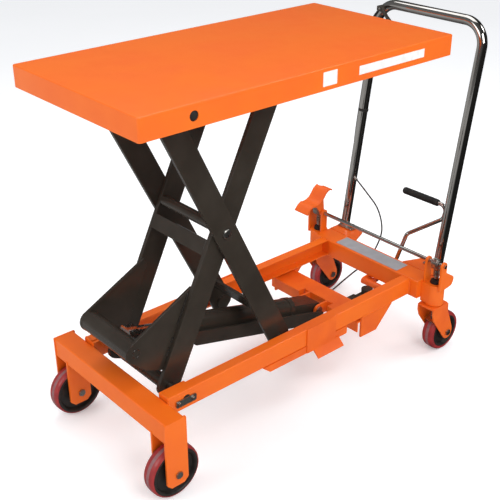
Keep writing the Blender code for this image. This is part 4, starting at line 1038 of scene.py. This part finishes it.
@dataclass
class PushHandle:
    """The chromed push handle with its feet and bolts, and the release gear on its far upright."""

    radius: float = 0.015
    bend: float = 0.070
    lean: float = 0.1495
    foot_half: float = 0.018
    foot_height: float = 0.006
    bolt_inset: float = 0.033
    cable_radius: float = 0.0025
    conduit_radius: float = 0.003

    def build(self) -> None:
        """Builds the handle and the release gear."""
        self.loop()
        self.feet()
        self.lever()
        self.cable()
        self.conduit()

    def upright(self, height: float) -> float:
        """Where an upright's middle is along X at a height."""
        high = span("handle_tube")[1]
        return high.x - self.radius - self.lean * (high.z - self.radius - height)

    def spread(self) -> float:
        """Half the distance between the uprights."""
        return span("handle_tube")[1].y - 0.017

    def loop(self) -> None:
        """The bent tube."""
        low, high, _ = span("handle_tube")
        top, y, foot = high.z - self.radius, self.spread(), low.z + 0.0045
        corners = [(self.upright(foot), -y, foot), (self.upright(top), -y, top),
                   (self.upright(top), y, top), (self.upright(foot), y, foot)]
        fit(tube(bent_route(corners, self.bend, 18), self.radius, 14), "handle tube finished",
            "chassis", CHROME_PLATE, ["handle_tube"])

    def feet(self) -> None:
        """The foot plates under the uprights, with a weld collar and a bolt on each."""
        floor = span("handle_tube")[0].z
        x = self.upright(floor)
        collar = [(0.0148, 0.0055), (0.0195, 0.0055), (0.019, 0.008), (0.016, 0.011),
                  (0.0148, 0.011)]
        for side, s in SIDES:
            y = s * self.spread()
            bolt = y - s * self.bolt_inset
            inner, outer = sorted((y - s * 0.045, y + s * 0.017))
            plate = block((x - self.foot_half, inner, floor),
                          (x + self.foot_half, outer, floor + self.foot_height), 0.0015, 3)
            ring = turned(collar, (x + 0.0008, y, floor), (0, 0, 1))
            washer = pin(0.011, (x, bolt, floor + 0.0062), (x, bolt, floor + 0.008), 0.0004, 40)
            head = pin(0.0088, (x, bolt, floor + 0.008), (x, bolt, floor + 0.015), 0.0008, 6)
            fit(joined("foot", [plate, ring, washer, head]), f"handle foot {side}", "chassis",
                ZINC_PLATE)

    def lever(self) -> None:
        """The hand lever with its clamp and pin."""
        pivot = joint_place("release_lever")
        coat_copy("release_lever", "hand_release", BLACK_ENAMEL, 0.0009, 3)
        clamp = block(pivot + Vector((-0.006, -0.007, -0.007)), pivot + Vector((0.016, 0.012, 0.007)),
                      0.0015, 3)
        half = Vector((0.0085, 0, 0))
        hinge = pin(0.003, pivot - half, pivot + half, 0.0005, 24)
        fit(clamp, "release lever clamp", "chassis", BLACK_ENAMEL)
        fit(hinge, "release lever pin", "chassis", ZINC_PLATE)

    def cable_route(self) -> list[Vector]:
        """The release cable's points in the table's frame."""
        rear = span("platform")[1].x
        return [Vector((rear + x, y, z)) for x, y, z in CABLE_POINTS]

    def cable(self) -> None:
        """The release cable, in a bow from its ferrule on the far upright to the pump valve."""
        cable = self.cable_route()
        fit(tube(smooth_route(cable, 10), self.cable_radius, 5), "release cable finished", "chassis",
            CABLE_SHEATH, ["release_cable"])
        start, end = cable[0], cable[-1]
        along, inward = (start - cable[1]).normalized(), (cable[-2] - end).normalized()
        ferrule = pin(0.0045, start - along * 0.002, start + along * 0.030, 0.0008, 32)
        fit(ferrule, "cable ferrule", "chassis", ZINC_PLATE)
        fitting = pin(0.005, end + inward * 0.001, end + inward * 0.018, 0.0008, 6)
        fit(fitting, "cable end fitting", "chassis", ZINC_PLATE)

    def conduit(self) -> None:
        """The conduit from the ferrule up the far upright to the lever, with its clips."""
        start, after = self.cable_route()[:2]
        along = (start - after).normalized()
        y = self.spread() + self.radius + 0.0028
        climb = [(self.upright(height), y, height) for height in (0.60, 0.75, 0.912)]
        route = [start + along * 0.028, (self.upright(0.50) - 0.010, y - 0.014, 0.50), *climb,
                 (self.upright(0.950) - 0.012, y - 0.008, 0.950),
                 (self.upright(0.975) - 0.017, self.spread() - 0.010, 0.978)]
        fit(tube(smooth_route(route, 10), self.conduit_radius, 5), "release conduit", "chassis",
            CABLE_SHEATH)
        band = mirrored([(self.radius + 0.0002, -0.004), (self.radius + 0.0016, -0.004)])
        for number, height in enumerate((0.66, 0.85), 1):
            clip = turned(band, (self.upright(height), self.spread(), height), (self.lean, 0, 1))
            fit(clip, f"conduit clip {number}", "chassis", RUBBER)


@dataclass
class FootPump:
    """The foot pump: block, piston, lever, bent chrome pedal rod and ribbed rubber grip."""

    rod_radius: float = 0.0065
    bend: float = 0.020
    ribs: int = 26
    rib_margin: float = 0.006
    lever_half: float = 0.005
    lever_drop: float = 0.037

    def build(self) -> None:
        """Builds the pump's pieces."""
        coat_copy("pump_body", "chassis", BLACK_ENAMEL, 0.0015, 3)
        coat_copy("pump_piston", "pump_plunger", GROUND_STEEL, 0.0007)
        self.rod()
        self.lever()
        self.grip()

    def rod(self) -> None:
        """The pedal rod, bent from one bar."""
        rear = span("platform")[1].x
        route = bent_route([(rear + x, y, z) for x, y, z in PEDAL_CORNERS], self.bend)
        fit(tube(route, self.rod_radius), "pedal rod", "foot_pump", CHROME_PLATE, ["pump_pedal"])

    def lever(self) -> None:
        """The hub on the pedal's pivot, with the lever under the piston and the arm to the rod."""
        pivot, piston = joint_place("pump_pedal"), middle("pump_piston")
        x, z, tip, top = pivot.x, pivot.z, piston.x, pivot.z - self.lever_drop
        hub = turned(mirrored([(0.0068, -0.0397), (0.011, -0.0397), (0.0115, -0.039)]),
                     (x, piston.y + 0.025, z))
        lever = self.plate([(x - 0.002, z + 0.010), (tip + 0.017, top), (tip - 0.0065, top),
                            (tip - 0.0115, top - 0.0035), (tip - 0.0115, top - 0.0095),
                            (tip - 0.0065, top - 0.013), (tip + 0.022, top - 0.013),
                            (x + 0.004, z - 0.0095)], piston.y)
        arm = self.plate([(x + 0.002, z + 0.0085), (x + 0.045, z + 0.001), (x + 0.045, z - 0.013),
                          (x + 0.002, z - 0.0085)], piston.y + 0.050)
        fit(joined("lever", [hub, lever, arm]), "pump lever", "foot_pump", PLATE_COAT)

    def plate(self, outline: Sequence[tuple[float, float]], y: float) -> Piece:
        """A flat lever plate across Y.

        Args:
            outline: Its corners as (x, z).
            y: The middle of its thickness.

        Returns:
            The plate with rounded edges.
        """
        put_down()
        bpy.ops.mesh.primitive_circle_add(vertices=len(outline), radius=0.01, fill_type="NGON",
                                          location=(0, 0, 0))
        shape = bpy.context.object
        for vertex, (x, z) in zip(shape.data.vertices, outline):
            vertex.co = (x, y - self.lever_half, z)
        with in_edit_mode(shape):
            bpy.ops.mesh.select_all(action="SELECT")
            bpy.ops.mesh.extrude_region_move(
                TRANSFORM_OT_translate={"value": (0, 2 * self.lever_half, 0)})
        close_up(shape)
        soften(shape, 0.001, angle=20)
        return shape

    def grip(self) -> None:
        """The rubber grip with a rib every few millimetres and a domed end."""
        low, high, centre = span("pedal_grip")
        radius, bore = (high.z - low.z) / 2, self.rod_radius + 0.0003
        start, end = low.y - centre.y, high.y - centre.y
        pitch = (end - start - 2 * self.rib_margin) / self.ribs
        profile = [(bore, start), (radius - 0.0016, start), (radius - 0.0004, start + 0.002),
                   (radius - 0.0004, start + self.rib_margin)]
        for i in range(self.ribs):
            for depth, share in ((0.0014, 0.3), (0.0014, 0.55), (0.0, 0.75), (0.0, 0.95)):
                profile.append((radius - depth, start + self.rib_margin + (i + share) * pitch))
        profile += [(radius - 0.0004, end - 0.004), (radius - 0.002, end - 0.001),
                    (radius - 0.0045, end), (bore, end)]
        fit(turned(profile, centre), "pedal grip finished", "foot_pump", RUBBER, ["pedal_grip"])


@dataclass
class Studio:
    """A pale floor, soft lights and the camera."""

    floor_glow: float = 0.22
    ambient: float = 0.72
    lens: float = 64.75
    camera_place: tuple[float, float, float] = (-1.57292, -1.6895, 1.6128)
    azimuth: float = -41.109
    elevation: float = 27.441
    roll: float = -0.173

    def build(self) -> None:
        """Sets the floor, the lights, the surroundings and the camera."""
        self.floor()
        self.surroundings()
        self.light("key light", (-0.6, -3.0, 2.6), 1.8, 54)
        self.light("edge light", (2.2, -1.7, 3.3), 1.0, 22)
        self.light("side light", (-3.0, 0.6, 2.0), 1.6, 27)
        self.light("top light", (0.4, 0.8, 3.4), 2.2, 30)
        self.camera()

    def brighter_away(self, material: Shaded, output: str,
                      reach: tuple[float, float], strength: tuple[float, float]) -> bpy.types.Node:
        """A strength that grows across the studio, from its front to its back.

        Args:
            material: The floor's material or the world.
            output: The texture coordinate that the place is read from.
            reach: Where it starts and stops growing.
            strength: Its least and its greatest value.

        Returns:
            The node that gives the strength.
        """
        place = add_node(material, "ShaderNodeTexCoord")
        turn = add_node(material, "ShaderNodeMapping", {"Rotation": (0, 0, math.radians(self.azimuth))},
                        {"Vector": place.outputs[output]})
        across = add_node(material, "ShaderNodeSeparateXYZ", {}, {0: turn.outputs[0]})
        return add_node(material, "ShaderNodeMapRange",
                        {"From Min": reach[0], "From Max": reach[1],
                         "To Min": strength[0], "To Max": strength[1]}, {"Value": across.outputs["Y"]})

    def by_ray(self, material: Shaded, other: bpy.types.Node,
               direct: bpy.types.Node, mirrored_in: bpy.types.Node) -> bpy.types.Node:
        """Mixes what the eye, a mirror and every other ray sees.

        Args:
            material: The floor's material or the world.
            other: What lights the object.
            direct: What the eye sees.
            mirrored_in: What shows in glossy pieces.

        Returns:
            The mixed shader.
        """
        rays = add_node(material, "ShaderNodeLightPath")
        seen = add_node(material, "ShaderNodeMixShader", {},
                        {0: rays.outputs["Is Camera Ray"], 1: other.outputs[0], 2: direct.outputs[0]})
        return add_node(material, "ShaderNodeMixShader", {},
                        {0: rays.outputs["Is Glossy Ray"], 1: seen.outputs[0],
                         2: mirrored_in.outputs[0]})

    def floor(self) -> None:
        """A pale floor that isn't part of the object."""
        put_down()
        bpy.ops.mesh.primitive_plane_add(size=60, location=(0, 0, -0.0005))
        floor = bpy.context.object
        floor.name = "studio_floor"
        finish = Finish("studio paper", Slot.GREY, "FAFAFA", "F7F7F7", 900, (0.85, 0.92), 8.0, 0.01)
        paper = finish.material()
        shader, out = (paper.node_tree.nodes[name] for name in ("Principled BSDF", "Material Output"))
        away = self.brighter_away(paper, "Object", (-0.6, 1.6), (0.02, 0.45))
        mirrored_in = add_node(paper, "ShaderNodeEmission", {}, {"Strength": away.outputs[0]})
        lit = add_node(paper, "ShaderNodeEmission", {"Strength": self.floor_glow})
        glow = add_node(paper, "ShaderNodeAddShader", {}, {0: shader.outputs[0], 1: lit.outputs[0]})
        surface = self.by_ray(paper, shader, glow, mirrored_in)
        paper.node_tree.links.new(surface.outputs[0], out.inputs["Surface"])
        floor.data.materials.append(paper)

    def surroundings(self) -> None:
        """A pale world; mirrors see a darker one than the eye does, as in a dark studio."""
        world = bpy.data.worlds.new("studio")
        bpy.context.scene.world = world
        world.use_nodes = True
        world.node_tree.nodes.clear()
        away = self.brighter_away(world, "Generated", (-0.5, 0.9), (0.03, 0.22))
        white = add_node(world, "ShaderNodeBackground", {"Color": linear("FFFFFF")})
        lit = add_node(world, "ShaderNodeBackground",
                       {"Color": linear("F4F6FA"), "Strength": self.ambient})
        mirrored_in = add_node(world, "ShaderNodeBackground", {}, {"Strength": away.outputs[0]})
        surface = self.by_ray(world, lit, white, mirrored_in)
        add_node(world, "ShaderNodeOutputWorld", {}, {"Surface": surface.outputs[0]})

    def light(self, name: str, place: Point, size: float, power: float) -> None:
        """A square soft light that faces the table.

        Args:
            name: Its name.
            place: Where it hangs.
            size: Its side.
            power: Its power in watts.
        """
        lamp = bpy.data.lights.new(name, "AREA")
        lamp.size, lamp.energy = size, power
        holder = bpy.data.objects.new(name, lamp)
        bpy.context.scene.collection.objects.link(holder)
        holder.location = place
        aim = Vector((0, 0, 0.5)) - Vector(place)
        holder.rotation_euler = aim.to_track_quat("-Z", "Y").to_euler()

    def camera(self) -> None:
        """The camera, looking down on the table from its near front corner."""
        lens = bpy.data.cameras.new("camera")
        lens.lens, lens.sensor_width = self.lens, 36
        camera = bpy.data.objects.new("camera", lens)
        bpy.context.scene.collection.objects.link(camera)
        turn, tilt = math.radians(self.azimuth), math.radians(self.elevation)
        look = Vector((-math.sin(turn) * math.cos(tilt), math.cos(turn) * math.cos(tilt),
                       -math.sin(tilt)))
        aim = look.to_track_quat("-Z", "Y").to_matrix().to_4x4()
        roll = Matrix.Rotation(math.radians(self.roll), 4, "Z")
        camera.matrix_world = Matrix.Translation(self.camera_place) @ aim @ roll
        bpy.context.scene.camera = camera
        bpy.context.scene.view_settings.view_transform = "Standard"


def main() -> None:
    """Builds every sub-assembly."""
    logging.basicConfig(level=logging.INFO, format="%(message)s")
    put_down()
    for sub_assembly in (Studio(), Deck(), Scissor(), Ram(), Chassis()):
        sub_assembly.build()
    for side, _ in SIDES:
        Wheel(f"front_wheel_{side}", f"fixed_wheel_{side}").build()
        AxleBolt(f"front_axle_{side}", "chassis").build()
        Caster(side).build()
    for sub_assembly in (BrakeGear(), PushHandle(), FootPump()):
        sub_assembly.build()


if __name__ == "__main__":
    main()
